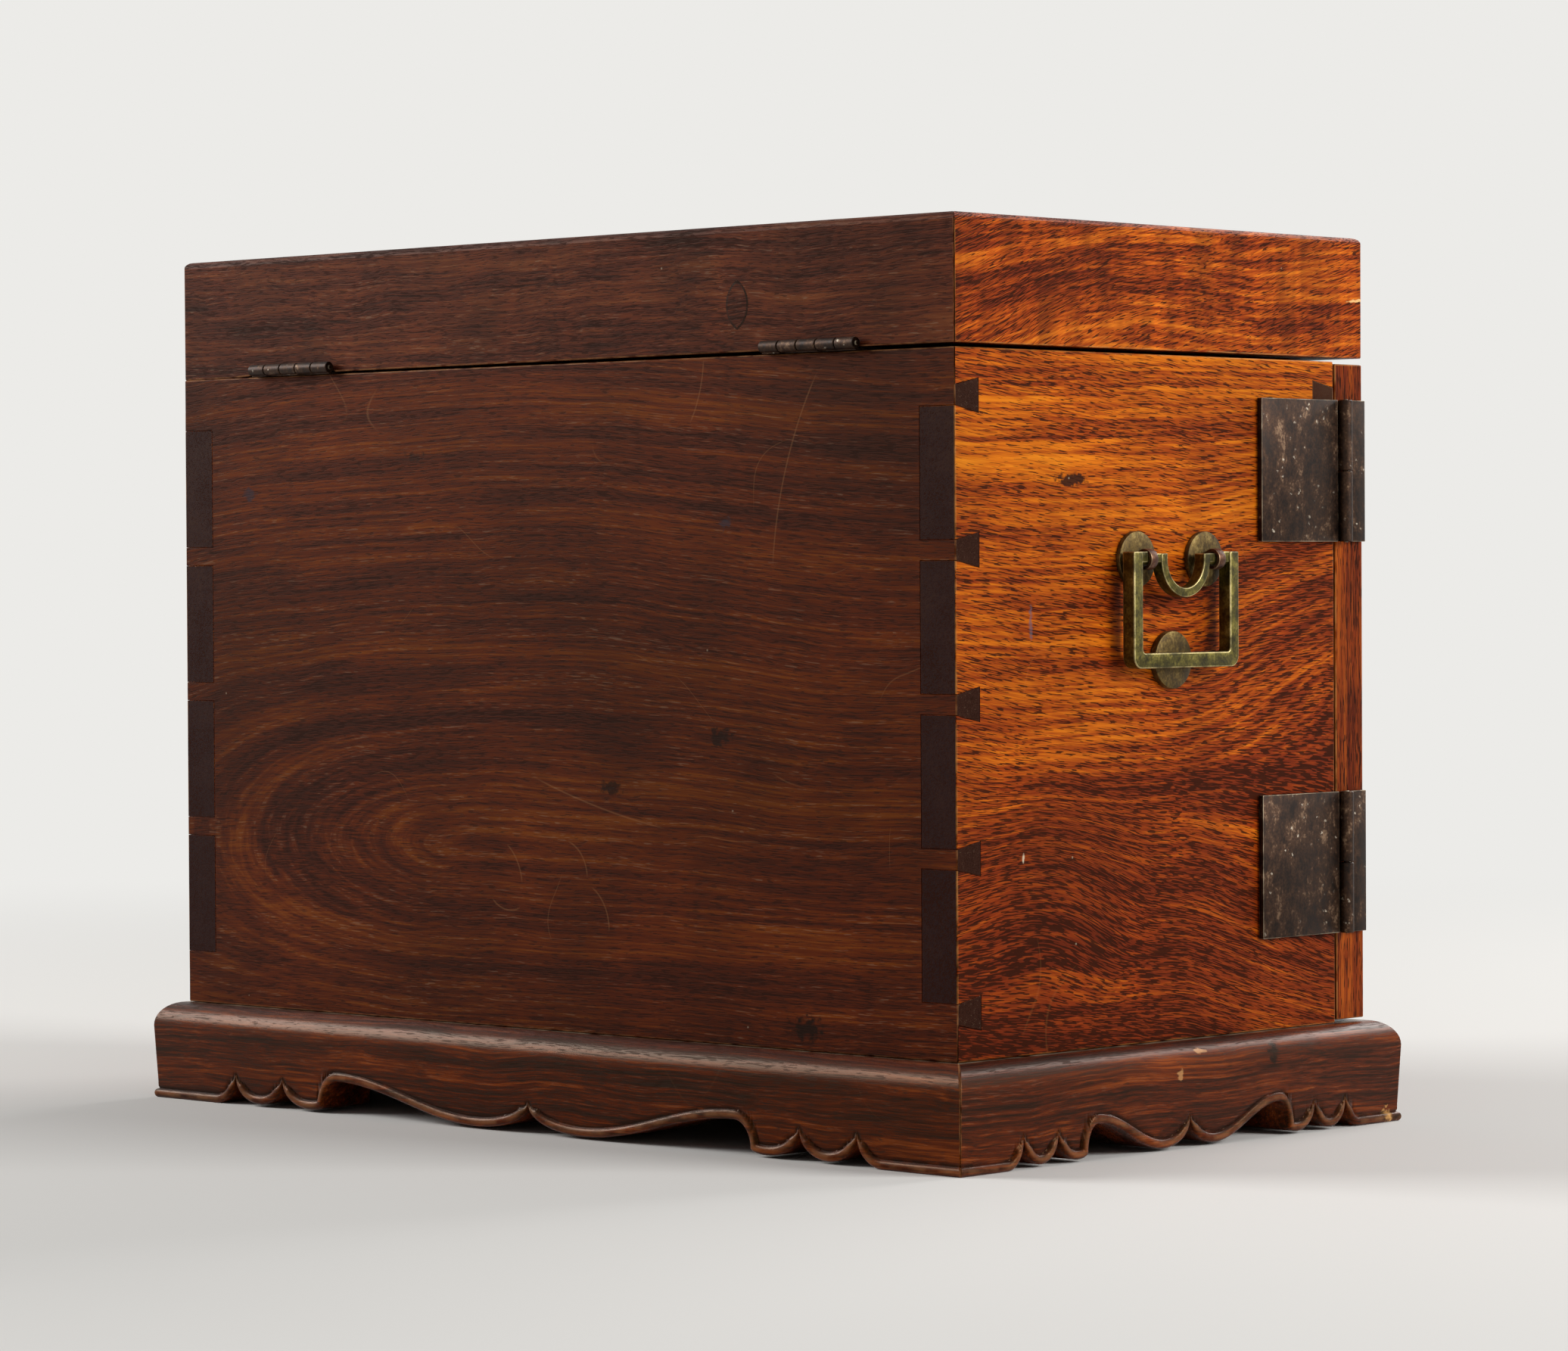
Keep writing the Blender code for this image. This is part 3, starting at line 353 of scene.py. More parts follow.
# waxed rosewood, planed and hand polished: orange-brown, crowded with short dark pores,
# its figure fanning towards the doors
sideWood = {
    "name": "waxed rosewood side", "slot": "side_wood", "origin": (-11, 123),
    "wanderSize": 120, "wander": (10, 9, 8), "stretch": -0.6, "oneSided": True, "fan": True, "reach": 52,
    "eye": 2.0,  # how far under the board the heart of the growth lies
    "swells": (((66, 92, -200), (62, 46, 60), 13),),  # place, size, lift
    # mm along and across; real pores are half as wide, too fine to show from two metres
    "band": (260, 15), "streak": (110, 1.7), "fibre": (20, 0.6), "pore": (5.5, 0.42),
    # fade darkens the side towards the bottom: partly the wood's own tone, partly painted shade where the light
    # falls off downwards
    "shares": (0.34, 0.4, 0.26), "fade": 0.0005, "fadeStart": -0.02,
    "levels": (0.38, 0.46, 0.53, 0.6, 0.7), "tones": ("#621d04", "#7f2d07", "#9f460a", "#c4660f", "#dc8219"),
    "mottle": (1 / 22, 1 / 60, 1 / 30), "mottleDepth": 0.1, "smoke": 0.12,
    "poreCrowd": 0.7, "poreFrom": 0.52, "poreDepth": 0.9, "poreColour": "#260902", "poreSlant": 0.12,
    "poreFade": 0.0004, "wax": 0.0, "scratch": 0.07, "specks": 0.5,
    "endColour": "#160c12", "worn": "#c98a4c", "dirt": "#1d0c06", "dust": "#b5a288",
    "roughness": 0.4, "bump": 0.22, "gloss": 0.12, "polish": "#d59b5e", "arcs": (),
    "marks": (  # place, size, colour, strength
        ((52, 234, -200), (11, 3.4, 9), "#260a05", 0.95),
        ((73.6, 184, -200), (1.4, 9, 9), "#5c5560", 0.6),
        ((78, 104.5, -200), (0.8, 2.2, 9), "#d8c6a8", 0.7),
    ),
}
# what the straighter boards have in common
straightWood = dict(
    sideWood, oneSided=False, fan=False, reach=900, stretch=0.1, swells=(), fade=0, fadeStart=0,
    levels=(0.4, 0.47, 0.54, 0.63), poreFrom=0.55, poreSlant=0, poreFade=0, marks=(),
)
# the same rosewood, cut with the grain upright
doorWood = dict(
    straightWood, name="waxed rosewood door", origin=(0, -260), wander=(8, 8, 8),
    tones=("#561603", "#702706", "#863809", "#a44f12"),
)
# rosewood darker than the side, partly from a century of wax and smoke and partly painted shade of a face turned
# from the light: red-brown, long arcs of growth opening from a low tip, pale wax in the pores, partly painted
# glints
backWood = dict(
    straightWood, name="smoke darkened rosewood", slot="back_wood", origin=(47, 100),
    oneSided=True, reach=70, stretch=0.304, eye=7.0, swells=(((40, 230, 112), (270, 190, 60), 15),),
    wanderSize=140, band=(300, 10), streak=(140, 1.5), tones=("#341006", "#451707", "#582209", "#70370f"),
    poreColour="#150503", poreFrom=0.565, poreDepth=0.6, wax=0.12, endColour="#240c06", worn="#a9764e",
    scratch=0.2, specks=0.35, mottleDepth=0.08, smoke=0.3,
    arcs=(
        ((-82, 278), (-80, 266), (-75, 255)), ((-137, 272), (-122, 240), (-115, 204)),
        ((6, 129), (-31, 118), (-62, 112)), ((-12, 106), (-20, 100), (-22, 93)),
        ((-24, 90), (-31, 83), (-33, 74)), ((20, 104), (14, 97), (12, 90)), ((28, 84), (20, 80), (13, 81)),
    ),
    marks=(
        ((-89, 145, 112), (9, 4.5, 9), "#140605", 0.9),
        ((-34, 126, 112), (8, 4, 9), "#140605", 0.85),
        ((-130, 45, 112), (11, 6, 9), "#0f0504", 0.95),
        ((68, 246, 112), (8, 3, 9), "#1a0906", 0.75),
        ((162, 233.5, 112), (5, 3.5, 9), "#262530", 0.7),
        ((-92, 220, 112), (4.5, 3.5, 9), "#2e2b35", 0.7),
    ),
)
# redder rosewood with a leaning, mottled figure
lidWood = dict(
    straightWood, name="figured rosewood lid", slot="lid_wood", origin=(0, 60), stretch=0.12,
    swells=(((30, 292, -200), (95, 40, 60), 9),), wanderSize=70, wander=(9, 8, 8),
    band=(120, 9), streak=(55, 1.6), pore=(4.5, 0.42), tones=("#571604", "#7e2c07", "#a6480c", "#d0701a"),
    mottle=(1 / 8, 1 / 40, 1 / 20), mottleDepth=0.2, marks=(((-110, 293.0, -200), (9, 1, 9), "#e8b878", 0.95),),
)
# the lid's sides, where the pores rise across the figure and the polish shows bars of light
lidSideWood = dict(
    lidWood, name="flamed rosewood lid side", poreSlant=-0.22, mottle=(1 / 9, 1 / 70, 1 / 20), mottleDepth=0.3,
)
# the lid's back, as dark as the board under it: a darker copy of the lid's wood, partly painted shade of a face
# turned from the light
lidBackWood = dict(
    lidWood, name="smoke darkened rosewood lid", tones=("#290d07", "#461a0e", "#5a2814", "#703c20"),
    poreColour="#1b0704", poreDepth=0.6, wax=0.15, worn="#a9764e", endColour="#5a220d", marks=(),
    mottle=(1 / 14, 1 / 30, 1 / 20),
)
# heavier rosewood, worn by handling: dark smoky streaks, pale on the bead partly as painted highlight, darker
# beside it
baseWood = dict(
    straightWood, name="worn rosewood base", slot="base_wood", origin=(0, -70), wanderSize=70, wander=(9, 7, 8),
    band=(160, 7), streak=(90, 1.4),
    levels=(0.39, 0.46, 0.54, 0.63), tones=("#150602", "#361004", "#561e06", "#803a10"),
    poreColour="#180704", poreFrom=0.58, poreDepth=0.65, wax=0.06, worn="#a8744c", dirt="#120503",
    scratch=0.05, specks=0.4, gloss=0.27, roughness=0.27, bump=0.15,
    marks=(
        ((-47, 30.5, -209), (5, 6, 9), "#0b0402", 0.95),
        ((-114, 2.5, -209), (3.4, 5, 9), "#d9a35f", 0.95),
        ((-7, 33.5, -207), (5, 1.4, 9), "#c99463", 0.8),
        ((6, 26, -209), (2.8, 2.6, 9), "#bd8a58", 0.7),
    ),
)
# camphor wood, planed and left bare: dry, paler, no polish
insideWood = dict(
    straightWood, name="bare camphor wood inside", slot="inside_wood", origin=(0, -240),
    tones=("#6b4428", "#8d6240", "#a47a54", "#b8926a"),
    poreColour="#4a2a17", poreFrom=0.62, poreDepth=0.5, endColour="#2a0e07", worn="#c4a078",
    roughness=0.6, gloss=0.2, scratch=0.15,
)
for wood in (sideWood, doorWood, backWood, lidWood, lidSideWood, lidBackWood, baseWood, insideWood):
    wood["material"] = woodMaterial(wood)
print("woods mixed")


# Brasses. Patina in clouds and runs, specks, and edges rubbed bright.
def brassMaterial(brass):
    material, add, shader = newMaterial(brass["name"])
    place = add("VectorMath", {0: add("TexCoord")["Object"], "Scale": 1 / mm}, "SCALE")[0]  # to mm
    cloud = add("TexNoise", {"Vector": place, "Scale": 1 / brass["cloud"], "Detail": 4.0, "Roughness": 0.6})[0]
    runs = add("VectorMath", (place, brass["runs"]), "MULTIPLY")[0]
    runs = add("TexNoise", {"Vector": runs, "Scale": 1.0, "Detail": 4.0, "Roughness": 0.65, "Distortion": 0.4})[0]
    grit = add("TexNoise", {"Vector": place, "Scale": 1 / brass["grit"], "Detail": 2.0})[0]
    tone = add("Math", (cloud, runs), "ADD")[0]
    tone = add("Math", (grit, brass["gritShare"], tone), "MULTIPLY_ADD")[0]
    tone = add("Math", (tone, 2 + brass["gritShare"]), "DIVIDE")[0]
    colour = add("ValToRGB", (tone,), stops=zip(brass["levels"], brass["tones"]))[0]
    torn = add("TexNoise", {"Vector": place, "Scale": 1 / brass["tearSize"], "Detail": 2.0})[1]
    torn = add("VectorMath", (torn, (brass["tear"],) * 3, place), "MULTIPLY_ADD")[0]
    speck = add("TexVoronoi", {"Vector": torn, "Scale": 1 / brass["speckSpace"]})["Distance"]
    speck = add("MapRange", (speck, *brass["speckEdge"]))[0]
    speckAt = add("MapRange", (cloud, *brass["speckAt"], 0.0, brass["speckDepth"]))[0]
    speck = add("Math", (speck, speckAt), "MULTIPLY")[0]
    arris = add("Attribute", attribute_name="arris")["Fac"]
    rub = add("MapRange", (cloud, *brass["rubAt"], brass["rubLeast"], brass["rub"]))[0]
    rub = add("Math", (arris, rub), "MULTIPLY")[0]
    for amount, shade in ((speck, brass["speck"]), (rub, brass["bright"])):
        colour = add("Mix", {0: amount, 6: colour, 7: linear(shade)}, data_type="RGBA")[2]
    rough = brass["roughness"]
    rough = add("MapRange", (tone, *brass["polished"], rough - brass["shine"], rough + brass["dull"]))[0]
    height = add("Math", (grit, brass["gritHeight"], cloud), "MULTIPLY_ADD")[0]
    bump = add("Bump", {"Height": height, "Strength": brass["bump"], "Distance": brass["bumpHeight"]})[0]
    setInputs(shader, {"Base Color": colour, "Roughness": rough, "Normal": bump, "Metallic": brass["metallic"]})
    return material


# beaten sheet brass gone grey-brown: dull, with pale clouds, specks and a few scratches; sizes in mm
hingeBrass = {
    "name": "patinated sheet brass", "slot": "hinge_brass", "cloud": 9, "runs": (1 / 3.4, 1 / 3.4, 1 / 6),
    "grit": 0.9, "gritShare": 0.6, "gritHeight": 0.4, "tearSize": 1.3, "tear": 2.2,
    "levels": (0.4, 0.48, 0.55, 0.64), "tones": ("#180d06", "#2a190d", "#3c2718", "#785f49"),
    "speckSpace": 3.4, "speckEdge": (0.19, 0.1), "speckAt": (0.47, 0.6), "speck": "#c2b5a2", "speckDepth": 0.7,
    "bright": "#b5a88e", "rubAt": (0.4, 0.62), "rubLeast": 0.12, "rub": 0.75,
    "roughness": 0.46, "polished": (0.35, 0.65), "shine": 0.08, "dull": 0.12,
    "metallic": 0.75, "bump": 0.3, "bumpHeight": 0.12 * mm,
}
# cast brass with an olive bloom, filed edges rubbed bright by hands
handleBrass = dict(
    hingeBrass, name="olive cast brass", slot="handle_brass", cloud=5, runs=(1 / 4, 1 / 4, 1 / 6),
    levels=(0.4, 0.48, 0.54, 0.64), tones=("#2a250a", "#433c13", "#5b521f", "#84783a"),
    speckSpace=2.2, speck="#3c3a1a", speckDepth=0.5, bright="#d8c68c", rub=0.65, roughness=0.4,
)
# turned brass plates, browner where they are never touched
plateBrass = dict(
    handleBrass, name="grey turned brass", tones=("#34260e", "#4a3918", "#604c23", "#8c7747"),
    bright="#cdbf98", rub=0.8, roughness=0.44,
)
# strip brass darkened to a red brown, rubbed on its edges only
eyeBrass = dict(
    handleBrass, name="darkened strip brass", tones=("#2c1a12", "#45291c", "#5a3a28", "#7c5d48"),
    bright="#a98f6c", rub=0.7,
)
for brass in (hingeBrass, handleBrass, plateBrass, eyeBrass):
    brass["material"] = brassMaterial(brass)
print("brasses mixed")


def camelName(node):
    first, *rest = node.split("_")
    return first + "".join(word.capitalize() for word in rest)


def asMesh(shape, node):
    mesh = bpy.data.meshes.new(camelName(node))
    shape.to_mesh(mesh)
    shape.free()
    return mesh


def finishPiece(node, mesh, body, finish):
    mesh.materials.clear()
    mesh.materials.append(finish["material"])
    piece = newObject(camelName(node), mesh)
    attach(piece, body)
    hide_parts(*([node] if node in cad else []))  # the lid's patch stands for no node


def setGrain(mesh, axis, origin, slant=0.0, shift=0.0):
    points = np.empty(len(mesh.vertices) * 3, np.float32)
    mesh.vertices.foreach_get("co", points)
    points = points.reshape(-1, 3) / mm
    order = {"X": (0, 2, 1), "Y": (1, 2, 0), "Z": (2, 0, 1)}[axis]
    grain = points[:, order].copy()
    grain[:, 0] -= origin[0]
    grain[:, 1] += slant * grain[:, 0] - origin[1]
    grain[:, 2] += shift
    mesh.attributes.new("grain", "FLOAT_VECTOR", "POINT").data.foreach_set("vector", grain.ravel())


# softens the sharp outward edges that a test picks, width in mm, and marks how pale the new faces are: partly
# rubbed wear, partly painted highlight
def soften(shape, width, segments, rubAndHighlight=1.0, picked=lambda edge: True):
    sharp = math.radians(42)
    edges = [edge for edge in shape.edges if len(edge.link_faces) == 2 and edge.is_convex
             and edge.calc_face_angle() > sharp and picked(edge)]
    if not edges:
        return
    layer = shape.faces.layers.float["arris"]
    made = bmesh.ops.bevel(shape, geom=edges, offset=width * mm, offset_type="OFFSET", segments=segments,
                           profile=0.5, affect="EDGES", clamp_overlap=False, loop_slide=True)
    for face in made["faces"]:
        face[layer] = rubAndHighlight
        face.smooth = True


# Boards keep the CAD node's shape, with worked edges: body, wood, way of the grain
boards = {
    "side_board_left": ("carcass", sideWood, "Y", {}),
    "side_board_right": ("carcass", sideWood, "Y", {"shift": 640}),
    "back_board": ("carcass", backWood, "X", {}),
    "door_left": ("left_door", doorWood, "Z", {}),
    "door_right": ("right_door", doorWood, "Z", {"shift": 420}),
    "lid_rail_back": ("lid", lidBackWood, "X", {}),
    "lid_rail_front": ("lid", lidWood, "X", {"shift": 510}),
    "lid_rail_left": ("lid", lidSideWood, "Y", {"slant": 0.07}),
    "lid_rail_right": ("lid", lidSideWood, "Y", {"slant": 0.07, "shift": 380}),
    "lid_panel": ("lid", lidWood, "X", {"shift": 900}),
    "bottom_board": ("carcass", insideWood, "X", {}),
    "shelf": ("carcass", insideWood, "X", {"shift": 310}),
    "till_floor": ("carcass", insideWood, "X", {"shift": 620}),
    "till_front": ("carcass", insideWood, "X", {"shift": 930}),
}
boardEdges = {  # mm
    # arrisRub: how pale the boards' rounded outer corners are, partly rubbed wear and partly painted highlight
    "arris": 0.5, "arrisRub": 0.5, "seam": 0.07, "weld": 0.002, "near": 0.2,
    "endFacing": 0.8,  # of a face's turn towards the grain's end
    # the old lid sits lower towards its right rear corner, and touches the body beyond the hinge
    "lidSag": 0.85, "endSag": 1.48, "sagHeight": 5, "sagFrom": 159, "sagTo": 172, "sagFront": 60, "sagRear": 88,
    "touch": 0.01,
}


def sagRail(shape, node, bottom):
    edges = boardEdges
    cuts = {"lid_rail_back": ("X", "sagFrom", "sagTo"), "lid_rail_right": ("Y", "sagFront", "sagRear")}
    axis, *names = cuts.get(node, ("X",))
    normal = Vector((axis == "X", axis == "Y", 0))
    for name in names:
        parts = [*shape.verts, *shape.edges, *shape.faces]
        bmesh.ops.bisect_plane(shape, geom=parts, plane_co=normal * edges[name] * mm, plane_no=normal)
    start, size = cadBox[0], cadBox[1] - cadBox[0]
    for vert in shape.verts:
        x, y, z = vert.co
        lower = max(0.0, 1 - (z - bottom) / (edges["sagHeight"] * mm))
        far = (x - start.x) / size.x * (y - start.y) / size.y
        corner = x > (edges["sagTo"] - edges["touch"]) * mm and y > (edges["sagRear"] - edges["touch"]) * mm
        vert.co.z -= lower * (edges["endSag"] if corner else edges["lidSag"] * far) * mm


def makeBoard(node, body, wood, axis, grain):
    shape = bmesh.new()
    shape.from_mesh(cad[node].data)
    bmesh.ops.remove_doubles(shape, verts=shape.verts, dist=boardEdges["weld"] * mm)
    bmesh.ops.dissolve_limit(shape, angle_limit=flatAngle, verts=shape.verts, edges=shape.edges)
    shape.faces.layers.float.new("arris")
    for face in shape.faces:
        face.smooth = False
    lows, highs = zip(*(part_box(other) for other, (carrier, *_) in boards.items() if carrier == body))
    planes = [(min(a), max(b)) for a, b in zip(zip(*lows), zip(*highs))]  # outer faces of all the body's boards

    def onCorner(edge):
        touched = 0
        for index, pair in enumerate(planes):
            for plane in pair:
                touched += all(abs(vert.co[index] - plane) < boardEdges["near"] * mm for vert in edge.verts)
        return touched >= 2

    soften(shape, boardEdges["arris"], 3, boardEdges["arrisRub"], onCorner)
    soften(shape, boardEdges["seam"], 1, 0.0)
    if node.startswith("lid_rail"):
        sagRail(shape, node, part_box(node)[0].z)
    endLayer = shape.faces.layers.float.new("endGrain")
    for face in shape.faces:
        face[endLayer] = float(abs(face.normal["XYZ".index(axis)]) > boardEdges["endFacing"])
    mesh = asMesh(shape, node)
    setGrain(mesh, axis, wood["origin"], **grain)
    finishPiece(node, mesh, body, wood)


for node, board in boards.items():
    makeBoard(node, *board)
print("boards made:", len(boards))

# Base rails: cusped lower edge followed by a half-round bead, quarter-round top edge; mm
rail = {
    "thickness": 24.0, "height": 37.0, "round": 9.0, "cusp": 10.5, "arch": 12.5, "lobe": 1.0, "step": 3.0,
    "heelRun": 0.45, "lastLobe": 0.56, "stepRun": 0.86, "archRun": 0.30,  # in cusp pitches
    "bead": 3.3, "beadFoot": 0.1, "beadRub": 0.35, "beadRubCurve": 6, "recess": 1.1, "recessTop": 6.0,
    "pinchReach": 5.0, "pinchLeast": 0.12, "pinchCurve": 0.6,  # the bead narrows towards the tip of each cusp
    # the groove beside the bead is coloured darker
    "quirk": 0.35, "quirkDirt": 0.9, "quirkAt": (0.25, 0.45), "dirtAt": (0.3, 0.8),  # place, width beside the bead
    "corner": 0.8, "cornerTurn": 0.5, "cornerRub": 0.8, "mitreGap": 0.02,
    "edgeStep": 0.15, "columnStep": 0.5, "columnLeast": 0.06, "cornerColumns": (0.15, 0.4, 0.8),
    # rows of points above the lower edge, close enough to round the bead, then even ones to the shoulder
    "rows": (0, 0.2, 0.5, 0.85, 1.25, 1.65, 2.05, 2.45, 2.8, 3.1, 3.4, 3.75, 4.3, 5.2, 6.4), "evenRows": 8,
    "topRows": (9.5, 11.0, 24.0), "dust": (0.25, 0.8, 0.8),  # across the top, dusty towards the boards
    "arcSteps": 16, "dropSteps": 32, "roundSteps": 10, "sharp": 50,  # degrees
    "shift": 300,  # the back and right rails are from another plank
    "runs": {
        "X": {"half": 210.0, "face": 122.0, "foot": 36.0, "pitch": 27.0, "drop": 28.0},
        "Y": {"half": 122.0, "face": 210.0, "foot": 25.0, "pitch": 18.0, "drop": 14.0},
    },
    "rails": {"back": ("X", 1), "front": ("X", -1), "left": ("Y", -1), "right": ("Y", 1)},
}


def quarterArc(start, end, flatStart, steps):
    turns = np.linspace(0, math.pi / 2, steps + 1)[1:]
    run, rise = np.sin(turns), 1 - np.cos(turns)
    if not flatStart:
        run, rise = rise, run
    return [(start[0] + (end[0] - start[0]) * a, start[1] + (end[1] - start[1]) * b) for a, b in zip(run, rise)]


def apronHalf(one):
    pitch, cusp, lobe = one["pitch"], rail["cusp"], rail["lobe"]
    heel = one["half"] - one["foot"]
    outerCusp = heel - rail["heelRun"] * pitch
    innerCusp = outerCusp - pitch
    step = innerCusp - rail["stepRun"] * pitch
    stops = [((heel, 0.0), True), ((outerCusp, cusp), False), ((outerCusp - pitch / 2, lobe), True),
             ((innerCusp, cusp), False), ((innerCusp - rail["lastLobe"] * pitch, lobe), True),
             ((step, rail["step"]), False), ((step - rail["archRun"] * pitch, rail["arch"]), None)]
    line = [(one["half"], 0.0), stops[0][0]]
    for (start, flatStart), (end, _) in zip(stops, stops[1:]):
        line += quarterArc(start, end, flatStart, rail["arcSteps"])
    arch = line[-1]
    for share in np.linspace(0, 1, rail["dropSteps"] + 1)[1:]:
        swing = (1 - math.cos(math.pi * share)) / 2
        line.append((arch[0] + (one["drop"] - arch[0]) * share, arch[1] + (lobe - arch[1]) * swing))
    line += quarterArc(line[-1], (0.0, cusp), True, rail["arcSteps"])
    return np.array(line), [0.0, innerCusp, outerCusp]


def apronDepth(points, edge, cusps):
    # how deep each point of the face lies, how pale it is (rubbed wear and painted highlight on the bead's crown)
    # and how dark beside the bead
    lengths = np.r_[0, np.cumsum(np.hypot(*np.diff(edge, axis=0).T))]
    walk = np.arange(0, lengths[-1], rail["edgeStep"])
    samples = np.stack([np.interp(walk, lengths, edge[:, 0]), np.interp(walk, lengths, edge[:, 1])], 1)
    tips = np.array([(side * cusp, rail["cusp"]) for cusp in cusps for side in (-1, 1)])
    toTip = np.min(np.hypot(*(samples[:, None] - tips[None]).T), axis=0)
    pinch = np.clip(toTip / rail["pinchReach"], rail["pinchLeast"], 1.0) ** rail["pinchCurve"]
    tree = KDTree(len(samples))
    for index, (a, b) in enumerate(samples):
        tree.insert((a, b, 0), index)
    tree.balance()
    found = [tree.find((a, b, 0)) for a, b in points]
    away = np.array([hit[2] for hit in found])
    pinch = pinch[[hit[1] for hit in found]]
    width = rail["bead"] * pinch
    inside = away < width
    crown = np.sqrt(np.clip(1 - (2 * away / width - 1) ** 2, 0, 1))
    # where the groove beside the bead is coloured darker
    groove, hollow = (np.exp(-((away - width - place) / spread) ** 2)
                      for place, spread in (rail["quirkAt"], rail["dirtAt"]))
    shoulder = rail["height"] - rail["round"]
    depth = rail["recess"] * np.clip((shoulder - points[:, 1]) / (shoulder - rail["recessTop"]), 0, 1)
    rise = rail["beadFoot"] - (depth + rail["beadFoot"]) * crown * pinch
    depth += np.where(inside, rise, rail["quirk"] * groove * pinch)
    # the bead's crown is paler: partly rubbed wear, partly painted highlight
    worn = np.where(inside, crown ** rail["beadRubCurve"], 0) * rail["beadRub"]
    return np.maximum(depth, 0), worn, hollow * rail["quirkDirt"]


def makeRail(node, along, out):
    one = rail["runs"][along]
    half, cusps = apronHalf(one)
    edge = np.concatenate([half * (-1, 1), half[::-1][1:]])
    edge = edge[np.argsort(edge[:, 0], kind="stable")]
    turned = one["half"] - np.array(rail["cornerColumns"])
    even = np.linspace(-one["half"], one["half"], round(2 * one["half"] / rail["columnStep"]) + 1)
    columns = np.unique(np.r_[even, edge[:, 0], turned, -turned])
    columns = columns[np.r_[True, np.diff(columns) > rail["columnLeast"]]]
    columns[-1] = one["half"]
    count = len(columns)
    floor = np.interp(columns, edge[:, 0], edge[:, 1])[:, None]
    shoulder = rail["height"] - rail["round"]
    share = np.linspace(0, 1, rail["evenRows"] + 1)[1:]
    front = np.concatenate([floor + rail["rows"], (floor + rail["rows"][-1]) * (1 - share) + shoulder * share], 1)
    flat = np.stack([np.repeat(columns, front.shape[1]), front.ravel()], 1)
    depth, worn, hollow = (values.reshape(front.shape) for values in apronDepth(flat, edge, cusps))
    # over the round, across the top and down the inner face
    turns = np.linspace(0, math.pi / 2, rail["roundSteps"] + 1)[1:]
    over = [(rail["round"] * (1 - math.cos(turn)), shoulder + rail["round"] * math.sin(turn)) for turn in turns]
    over += [(inward, rail["height"]) for inward in rail["topRows"]]
    inwards, heights = np.array(over).T
    rowsDepth = np.concatenate([depth, np.tile(inwards, (count, 1)), np.full((count, 1), rail["thickness"])], 1)
    rowsUp = np.concatenate([front, np.tile(heights, (count, 1)), floor], 1)
    bare = np.zeros((count, rowsUp.shape[1] - front.shape[1]))
    worn, hollow = np.concatenate([worn, bare], 1), np.concatenate([hollow, bare], 1)
    dust = np.zeros_like(worn)
    dust[:, -5:-2] = rail["dust"]
    # rounded corner, then the mitre
    reach = np.abs(columns)[:, None]
    past = np.clip(reach - (one["half"] - rail["corner"]), 0, rail["corner"])
    rowsDepth[:, :-3] += (rail["corner"] - np.sqrt(rail["corner"] ** 2 - past ** 2)) * rail["cornerTurn"]
    # the corner is paler: partly rubbed wear, partly painted highlight
    worn = np.maximum(worn, rail["cornerRub"] * past / rail["corner"])
    heel = one["half"] - one["foot"]
    squeeze = (one["half"] - rail["mitreGap"] - rowsDepth - heel) / one["foot"]
    shifted = np.sign(columns)[:, None] * (heel + (reach - heel) * squeeze)
    rowsAlong = np.where(reach > heel, shifted, columns[:, None])
    outward = out * (one["face"] - rowsDepth)
    stack = (rowsAlong, outward, rowsUp) if along == "X" else (outward, rowsAlong, rowsUp)
    points = np.stack([values.ravel() for values in stack], 1) * mm
    index = np.arange(rowsUp.size).reshape(rowsUp.shape)
    after = np.roll(index, -1, axis=1)
    quads = np.stack([index[:-1], index[1:], after[1:], after[:-1]], -1).reshape(-1, 4).tolist()
    mesh = bpy.data.meshes.new(camelName(node))
    mesh.from_pydata(points.tolist(), [], quads + [index[0].tolist(), index[-1][::-1].tolist()])
    shape = bmesh.new()
    shape.from_mesh(mesh)
    bmesh.ops.recalc_face_normals(shape, faces=shape.faces)
    shape.to_mesh(mesh)
    shape.free()
    mesh.shade_smooth()
    mesh.set_sharp_from_angle(angle=math.radians(rail["sharp"]))
    for name, values in (("arris", worn), ("hollow", hollow), ("dust", dust)):
        mesh.attributes.new(name, "FLOAT", "POINT").data.foreach_set("value", values.ravel().astype(np.float32))
    setGrain(mesh, along, baseWood["origin"], shift=0 if out < 0 else rail["shift"])
    finishPiece(node, mesh, "carcass", baseWood)


for word, (along, out) in rail["rails"].items():
    makeRail("base_rail_" + word, along, out)
print("base rails carved")


# Brass shapes, all sizes in mm and angles in degrees
brassWork = {"weld": 0.001, "sharp": 32, "pinLip": 0.3, "pinSteps": 20}


def newShape():
    shape = bmesh.new()
    shape.faces.layers.float.new("arris")
    return shape


def prism(outline, place, low, high):
    # outline on a flat plane, place turns (across, up, through) into a point
    shape = newShape()
    rims = [[shape.verts.new(Vector(place(a, b, level)) * mm) for a, b in outline] for level in (low, high)]
    shape.faces.new(rims[0])
    shape.faces.new(rims[1])
    for index in range(len(outline)):
        after = (index + 1) % len(outline)
        shape.faces.new((rims[0][index], rims[0][after], rims[1][after], rims[1][index]))
    bmesh.ops.recalc_face_normals(shape, faces=shape.faces)
    return shape


